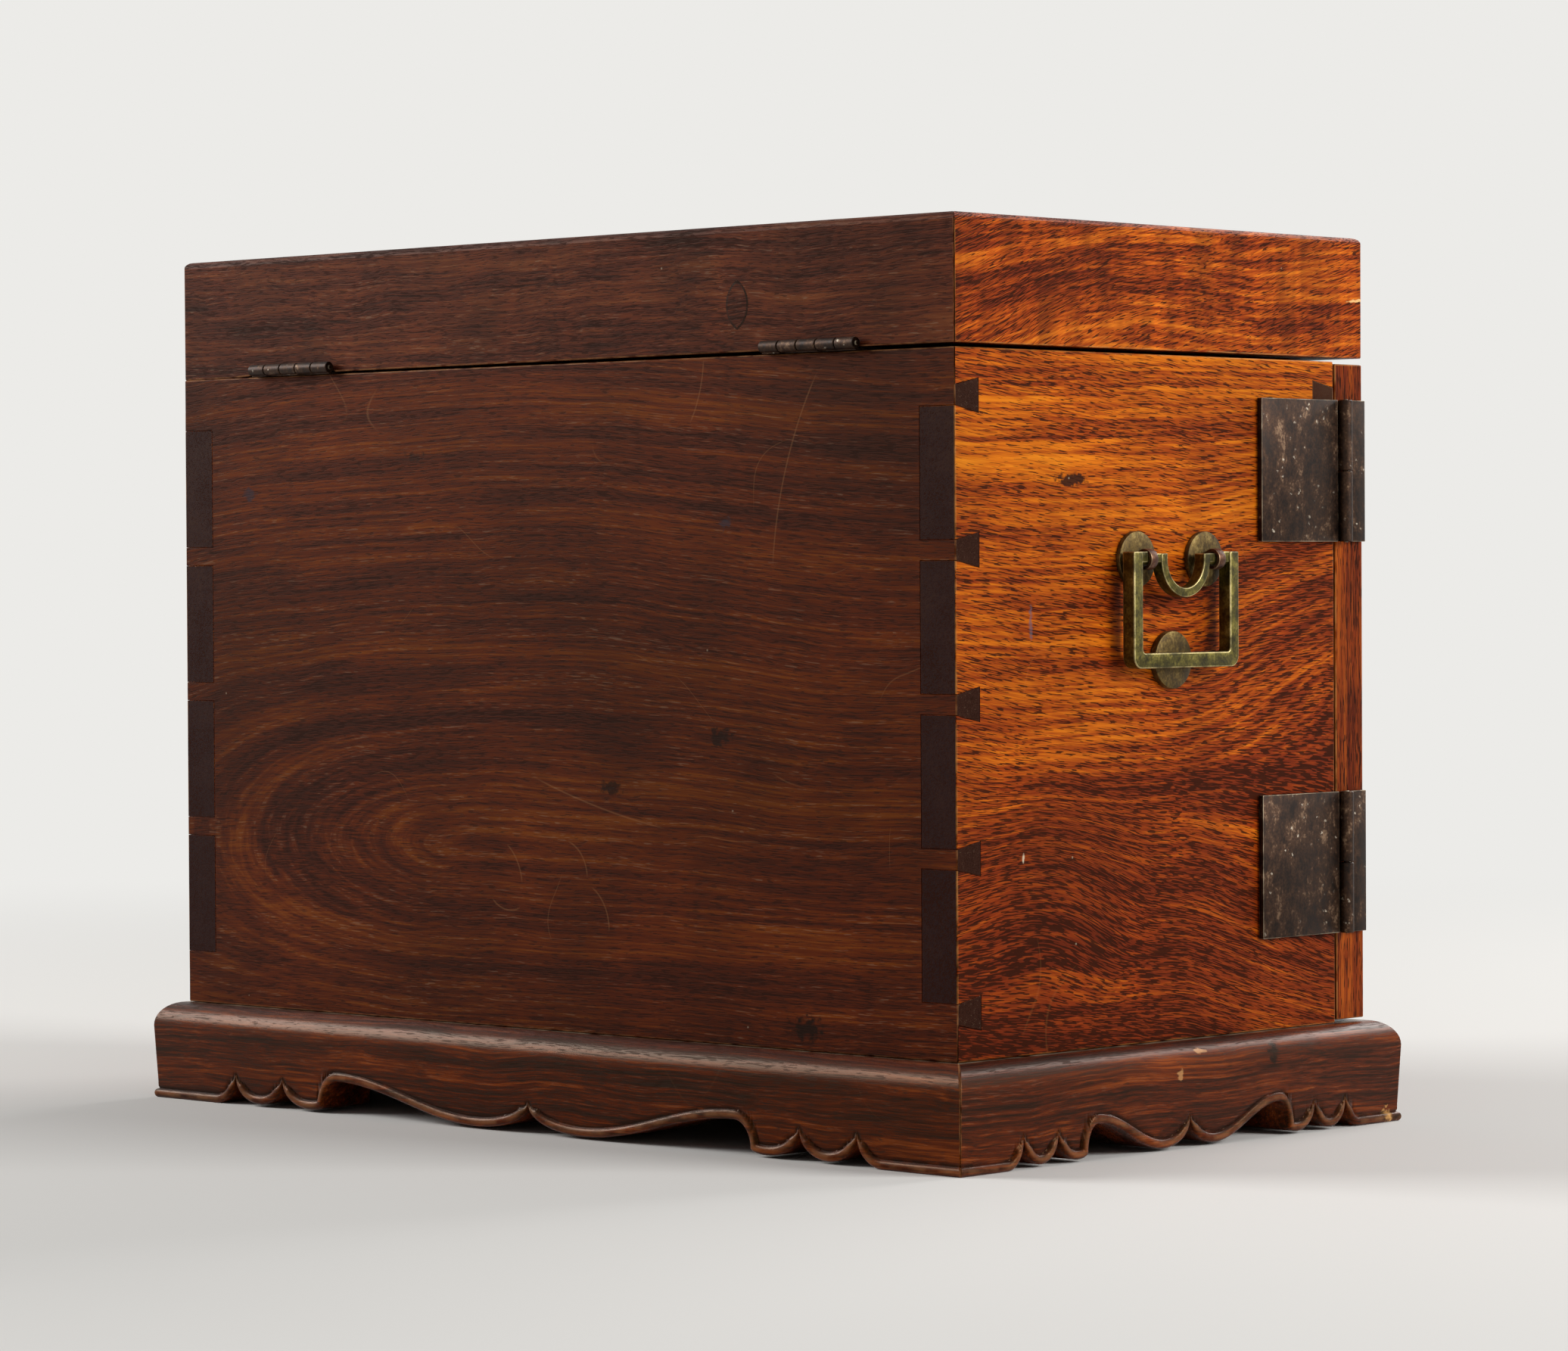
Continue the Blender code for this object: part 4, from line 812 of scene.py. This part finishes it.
def lathe(profile, centre, axis, steps, closed=False):
    # profile of (radius, height) turned round the axis through the centre; a closed one makes a ring
    shape = newShape()
    turn = Vector(axis).to_track_quat("Z", "Y").to_matrix()
    rings = []
    for radius, height in profile:
        ring = []
        for step in range(steps if radius > 0 else 1):
            angle = 2 * math.pi * step / steps
            spot = turn @ Vector((radius * math.cos(angle), radius * math.sin(angle), height)) + Vector(centre)
            ring.append(shape.verts.new(spot * mm))
        rings.append(ring)
    for lower, upper in zip(rings, rings[1:] + rings[:1] if closed else rings[1:]):
        for step in range(steps):
            after = (step + 1) % steps
            corners = [ring[place % len(ring)] for ring, place in
                       ((lower, step), (lower, after), (upper, after), (upper, step))]
            corners = list(dict.fromkeys(corners))
            if len(corners) > 2:
                shape.faces.new(corners)
    for ring in () if closed else (rings[0][::-1], rings[-1]):
        if len(ring) > 1:
            shape.faces.new(ring)
    bmesh.ops.recalc_face_normals(shape, faces=shape.faces)
    return shape


def boxShape(corner, opposite):
    (x0, y0, z0), (x1, y1, z1) = corner, opposite
    outline = [(x0, y0), (x1, y0), (x1, y1), (x0, y1)]
    return prism(outline, lambda a, b, c: (a, b, c), z0, z1)


def barrel(radius, start, end, lip=0.25, steps=32):
    start, end = Vector(start), Vector(end)
    length = (end - start).length
    half = [(0, 0), (radius - lip, 0), (radius, lip)]
    profile = half + [(r, length - h) for r, h in reversed(half)]
    return lathe(profile, start, (end - start) / length, steps)


def combine(shapes, operation="UNION"):
    pieces = [newObject("work", asMesh(shape, "work")) for shape in shapes]
    for tool in pieces[1:]:
        modifier = pieces[0].modifiers.new("join", "BOOLEAN")
        modifier.operation = operation
        modifier.solver = "EXACT"
        modifier.object = tool
    solved = pieces[0].evaluated_get(bpy.context.evaluated_depsgraph_get())
    shape = bmesh.new()
    shape.from_mesh(solved.to_mesh())
    for piece in pieces:
        bpy.data.objects.remove(piece)
    bmesh.ops.remove_doubles(shape, verts=shape.verts, dist=brassWork["weld"] * mm)
    return shape


def brassPiece(node, shape, body, brass, narrow=0.3):
    # faces narrower than this are edges that hands rub
    bmesh.ops.dissolve_limit(shape, angle_limit=flatAngle, verts=shape.verts, edges=shape.edges)
    layer = shape.faces.layers.float.get("arris") or shape.faces.layers.float.new("arris")
    for face in shape.faces:
        longest = max(edge.calc_length() for edge in face.edges)
        face[layer] = float(face.calc_area() / longest < narrow * mm)
    mesh = asMesh(shape, node)
    mesh.shade_smooth()
    mesh.set_sharp_from_angle(angle=math.radians(brassWork["sharp"]))
    finishPiece(node, mesh, body, brass)


def makePin(node, radius, start, end):
    pin = barrel(radius, start, end, brassWork["pinLip"], brassWork["pinSteps"])
    brassPiece(node, pin, "carcass", hingeBrass)


# Door hinges: a wide plate on the side, a narrow leaf on the door's edge, one knuckle each and a pin
doorHinge = {
    "seat": 200.2, "thickness": 2.0, "edge": -95.0, "plateLength": 44.5, "front": -111.0,
    "axisOut": 203.0, "axisY": -98.3, "knuckle": 2.6, "gap": 0.4, "soft": 0.22, "pin": 1.05, "pinProud": 0.25,
    "web": (0.2, 0.9), "webShort": 0.1, "webLap": 2.0,  # joins the knuckle to its sheet
}


def makeDoorHinge(word, side, level):
    hinge = doorHinge
    node = f"door_hinge_{level}_{word}_"
    seat, edge, gap, lap = (hinge[key] for key in ("seat", "edge", "gap", "webLap"))
    low, high = (corner.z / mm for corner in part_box(node + "leaf"))
    split = (low + high) / 2
    rear = hinge["axisY"] - hinge["knuckle"] - gap
    centre = (side * hinge["axisOut"], hinge["axisY"])
    parts = {
        "plate": ("carcass", (edge, edge + hinge["plateLength"]), (low, split - gap / 2), edge + lap),
        "leaf": (word + "_door", (hinge["front"], rear), (split + gap / 2, high), rear - lap),
    }
    for part, (body, (y0, y1), (bottom, top), webEnd) in parts.items():
        sheet = boxShape((side * seat, y0, low), (side * (seat + hinge["thickness"]), y1, high))
        soften(sheet, hinge["soft"], 2)
        near, far = (side * (seat + level) for level in hinge["web"])
        web = boxShape((near, hinge["axisY"], bottom + hinge["webShort"]), (far, webEnd, top - hinge["webShort"]))
        knuckle = barrel(hinge["knuckle"], (*centre, bottom), (*centre, top))
        brassPiece(node + part, combine([sheet, web, knuckle]), body, hingeBrass)
    makePin(node + "pin", hinge["pin"], (*centre, low - hinge["pinProud"]), (*centre, high + hinge["pinProud"]))


for word, side in ends.items():
    for level in ("upper", "lower"):
        makeDoorHinge(word, side, level)

# Lid hinges: five knuckles over the seam, thin leaves inside it
lidHinge = {
    "middle": 135.0, "length": 45.0, "count": 5, "radius": 2.1, "axisY": 114.5, "axisZ": 280.71, "gap": 0.45,
    "lip": 0.22, "leafFrom": 102.0, "leafTo": 112.0, "lower": (278.37, 278.87), "upper": (279.04, 279.54),
    "webShort": 0.2, "webLap": 2.0, "pin": 0.9, "pinProud": 0.3,
}


def makeLidHinge(word, side):
    hinge = lidHinge
    start = side * hinge["middle"] - hinge["length"] / 2
    step = hinge["length"] / hinge["count"]
    axis = (hinge["axisY"], hinge["axisZ"])
    for level, body, first in (("lower", "carcass", 0), ("upper", "lid", 1)):
        bottom, top = hinge[level]
        shapes = [boxShape((start, hinge["leafFrom"], bottom), (start + hinge["length"], hinge["leafTo"], top))]
        for index in range(first, hinge["count"], 2):
            left = start + step * index + hinge["gap"] / 2
            right = left + step - hinge["gap"]
            shapes.append(boxShape((left + hinge["webShort"], hinge["leafTo"] - hinge["webLap"], bottom),
                                   (right - hinge["webShort"], hinge["axisY"], top)))
            shapes.append(barrel(hinge["radius"], (left, *axis), (right, *axis), hinge["lip"]))
        brassPiece(f"lid_hinge_{level}_leaf_{word}", combine(shapes), body, hingeBrass, 0.0)
    tips = [(start + offset, *axis) for offset in (-hinge["pinProud"], hinge["length"] + hinge["pinProud"])]
    makePin("lid_hinge_pin_" + word, hinge["pin"], *tips)


for word, side in ends.items():
    makeLidHinge(word, side)
print("hinges made")

# Side handles: square bail with a dipped top, split eyes, round plates
handle = {
    "axisOut": 206.083, "axisZ": 206.5, "half": 28.85, "arm": 4.8, "bar": 5.3, "drop": 38.0, "depth": 5.4,
    "corner": 4.0, "innerCorner": 1.5, "neck": 2.0, "neckLip": 0.2, "dip": 13.3, "dipBand": 3.2, "dipDepth": 4.6,
    "soft": 0.45, "dipSoft": 0.36, "tabSoft": 0.27, "eyeSoft": 0.22, "narrow": 0.35,
    # squared ends beside each eye: along, up and through
    "tabs": (((20.9, 25.5), (-1.0, 2.62), 4.4), ((11.6, 16.4), (-1.0, 1.97), 4.0)),
    "eyeY": 18.675, "eyeRadius": 3.05, "eyeStrip": 1.3, "eyeWidth": 3.6, "eyeFoot": 201.0, "eyeSpread": 0.75,
    "plateSeat": 200.2, "strikeZ": 171.15,
    "rosette": (9.8, 1.8, 0.2), "strike": (10.2, 2.4, 0.1),  # radius, thickness, dome
}


def bailOutline():
    half, top, foot = handle["half"], handle["bar"] / 2, -handle["drop"]
    inner, floor = half - handle["arm"], foot + handle["bar"]
    corner, small = handle["corner"], handle["innerCorner"]
    right = [(half, top), (half, foot + corner)]
    right += quarterArc(right[-1], (half - corner, foot), False, 10)
    innerRight = [(inner - small, floor)]
    innerRight += quarterArc(innerRight[-1], (inner, floor + small), True, 6) + [(inner, top)]
    flip = lambda line: [(-a, b) for a, b in reversed(line)]
    return right + flip(right) + flip(innerRight) + innerRight


def dipOutline():
    outer, inner, rise = handle["dip"], handle["dip"] - handle["dipBand"], handle["neck"]
    turns = np.linspace(0, math.pi, 41)
    outside = [(outer * math.cos(t), -outer * math.sin(t)) for t in turns]
    inside = [(inner * math.cos(t), -inner * math.sin(t)) for t in turns[::-1]]
    return [(outer, rise), *outside, (-outer, rise), (-inner, rise), *inside, (inner, rise)]


def stripLoop(radius, strip, foot, spread):
    # a flat strip bent round a bar, its legs closing into one hole
    reach = math.hypot(foot, spread)
    touch = math.pi - math.atan2(spread, foot) - math.acos(radius / reach)
    turns = np.linspace(touch, -touch, 33)
    bend = [(radius * math.cos(t), radius * math.sin(t)) for t in turns]
    path = np.array([(-foot, spread), *bend, (-foot, -spread)])
    run = np.gradient(path, axis=0)
    run /= np.hypot(*run.T)[:, None]
    side = np.stack([-run[:, 1], run[:, 0]], 1) * strip / 2
    return [tuple(p) for p in path + side] + [tuple(p) for p in (path - side)[::-1]]


def discProfile(radius, thick, dome, lip=0.5, foot=0.1):
    # flat back, turned lip, low dome
    return [(0, 0), (radius - foot, 0), (radius, foot), (radius, thick - lip),
            (radius - lip * 0.35, thick - lip * 0.3), (radius - lip, thick - 0.02),
            (radius * 0.6, thick + dome * 0.6), (radius * 0.3, thick + dome * 0.92), (0, thick + dome)]


def makeHandle(word, side):
    x, z = side * handle["axisOut"], handle["axisZ"]
    upright = lambda a, b, c: (x + c, a, z + b)
    shapes = []
    for outline, depth, soft in ((bailOutline(), "depth", "soft"), (dipOutline(), "dipDepth", "dipSoft")):
        shapes.append(prism(outline, upright, -handle[depth] / 2, handle[depth] / 2))
        soften(shapes[-1], handle[soft], 3)
    for end in (-1, 1):
        inner = (x, end * (handle["dip"] - handle["dipBand"] / 2), z)
        outer = (x, end * (handle["half"] - handle["arm"] / 2), z)
        shapes.append(barrel(handle["neck"], inner, outer, handle["neckLip"], 28))
        for (near, far), (bottom, top), deep in handle["tabs"]:
            shapes.append(boxShape((x - deep / 2, end * near, z + bottom), (x + deep / 2, end * far, z + top)))
            soften(shapes[-1], handle["tabSoft"], 2)
    brassPiece("bail_" + word, combine(shapes), word + "_bail", handleBrass, handle["narrow"])
    foot = handle["axisOut"] - handle["eyeFoot"]
    loop = stripLoop(handle["eyeRadius"], handle["eyeStrip"], foot, handle["eyeSpread"])

    def addDisc(node, kind, along, up):
        disc = lathe(discProfile(*handle[kind]), (side * handle["plateSeat"], along, up), (side, 0, 0), 64)
        brassPiece(node, disc, "carcass", plateBrass)

    for spot, end in (("front", -1), ("rear", 1)):
        y = end * handle["eyeY"]
        flatwise = lambda a, b, c: (x + side * a, y + c, z + b)
        eye = prism(loop, flatwise, -handle["eyeWidth"] / 2, handle["eyeWidth"] / 2)
        soften(eye, handle["eyeSoft"], 2)
        brassPiece(f"bail_eye_{spot}_{word}", eye, "carcass", eyeBrass)
        addDisc(f"rosette_{spot}_{word}", "rosette", y, z)
    addDisc("strike_plate_" + word, "strike", 0, handle["strikeZ"])


for word, side in ends.items():
    makeHandle(word, side)
print("handles made")

# Round plate over the lid and both doors, with a ring pull on each door
front = {
    "seat": -112.2, "thick": 1.6, "radius": 36.0, "middleZ": 264.2, "lidLow": 279.71, "doorTop": 277.4,
    "meeting": 0.5, "edge": 0.5, "line": (2.6, 3.4), "lineDeep": 0.25, "room": 5, "narrow": 0.6,
    "ringX": 14.4, "ringY": -117.1, "ringZ": 260.2, "ring": 10.5, "wire": 1.5,
    "eyeRadius": 2.45, "eyeStrip": 1.1, "eyeWidth": 3.0, "eyeSunk": 0.5, "eyeSpread": 0.6, "eyeSoft": 0.2,
}


def plateProfile():
    radius, thick, edge, deep = (front[key] for key in ("radius", "thick", "edge", "lineDeep"))
    outer, inner = (radius - level for level in front["line"])
    return [(0, 0), (radius, 0), (radius, thick - edge), (radius - edge * 0.3, thick - edge * 0.3),
            (radius - edge, thick), (outer, thick), (outer - 0.2, thick - deep), (inner + 0.2, thick - deep),
            (inner, thick), (0, thick)]


def makeFront():
    far, reach = front["radius"] + front["room"], front["seat"] - 2 * front["room"]
    lidLow, doorTop, meeting, foot = front["lidLow"], front["doorTop"], front["meeting"], front["middleZ"] - far
    fields = {
        "lock_plate_lid": ("lid", (-far, reach, lidLow), (far, -reach, lidLow + far)),
        "lock_plate_left": ("left_door", (-far, reach, foot), (-meeting, -reach, doorTop)),
        "lock_plate_right": ("right_door", (meeting, reach, foot), (far, -reach, doorTop)),
    }
    outward = (0, -1, 0)
    for node, (body, corner, opposite) in fields.items():
        disc = lathe(plateProfile(), (0, front["seat"], front["middleZ"]), outward, 96)
        plate = combine([disc, boxShape(corner, opposite)], "INTERSECT")
        brassPiece(node, plate, body, plateBrass, front["narrow"])
    foot = front["seat"] - front["eyeSunk"] - front["ringY"]
    loop = stripLoop(front["eyeRadius"], front["eyeStrip"], foot, front["eyeSpread"])
    turns = np.linspace(0, 2 * math.pi, 17)[:-1]
    profile = [(front["ring"] + front["wire"] * math.cos(t), front["wire"] * math.sin(t)) for t in turns]
    for word, side in ends.items():
        x = side * front["ringX"]
        upright = lambda a, b, c: (x + c, front["ringY"] - a, front["ringZ"] + b)
        eye = prism(loop, upright, -front["eyeWidth"] / 2, front["eyeWidth"] / 2)
        soften(eye, front["eyeSoft"], 2)
        brassPiece("ring_eye_" + word, eye, word + "_door", handleBrass)
        ring = lathe(profile, (x, front["ringY"], front["ringZ"] - front["ring"]), outward, 64, closed=True)
        brassPiece("ring_pull_" + word, ring, word + "_ring", handleBrass, 0.0)


makeFront()
print("front plate and rings made")

# Lens-shaped repair let into the lid's back rail
patch = {
    "x": -98.5, "z": 296.0, "width": 10.8, "height": 17.5, "y": 112.0, "thick": 0.5, "rim": 0.02, "proud": 0.06,
    "joint": 0.8, "shift": 170,
}


def makePatch():
    half, tall = patch["width"] / 2, patch["height"] / 2
    radius = (half ** 2 + tall ** 2) / (2 * half)
    reach = math.asin(tall / radius)
    middle = patch["x"] - radius + half
    turns = np.linspace(-reach, reach, 21)
    right = [(middle + radius * math.cos(t), patch["z"] + radius * math.sin(t)) for t in turns]
    left = [(2 * patch["x"] - a, b) for a, b in right[::-1]][1:-1]
    inward = lambda a, b, c: (a, c, b)
    shape = prism(right + left, inward, patch["y"] - patch["thick"], patch["y"] + patch["rim"])
    hollow = shape.faces.layers.float.new("hollow")
    outer = [face for face in shape.faces if all(vert.co.y > patch["y"] * mm for vert in face.verts)]
    rise = (patch["proud"] - patch["rim"]) * mm
    made = bmesh.ops.inset_region(shape, faces=outer, thickness=patch["joint"] * mm, depth=rise)
    for face in made["faces"]:
        face[hollow] = 1.0  # dark joint round the repair
    mesh = asMesh(shape, "lid_patch")
    setGrain(mesh, "X", lidBackWood["origin"], shift=patch["shift"])
    finishPiece("lid_patch", mesh, "lid", lidBackWood)


makePatch()
print("lid patch let in")
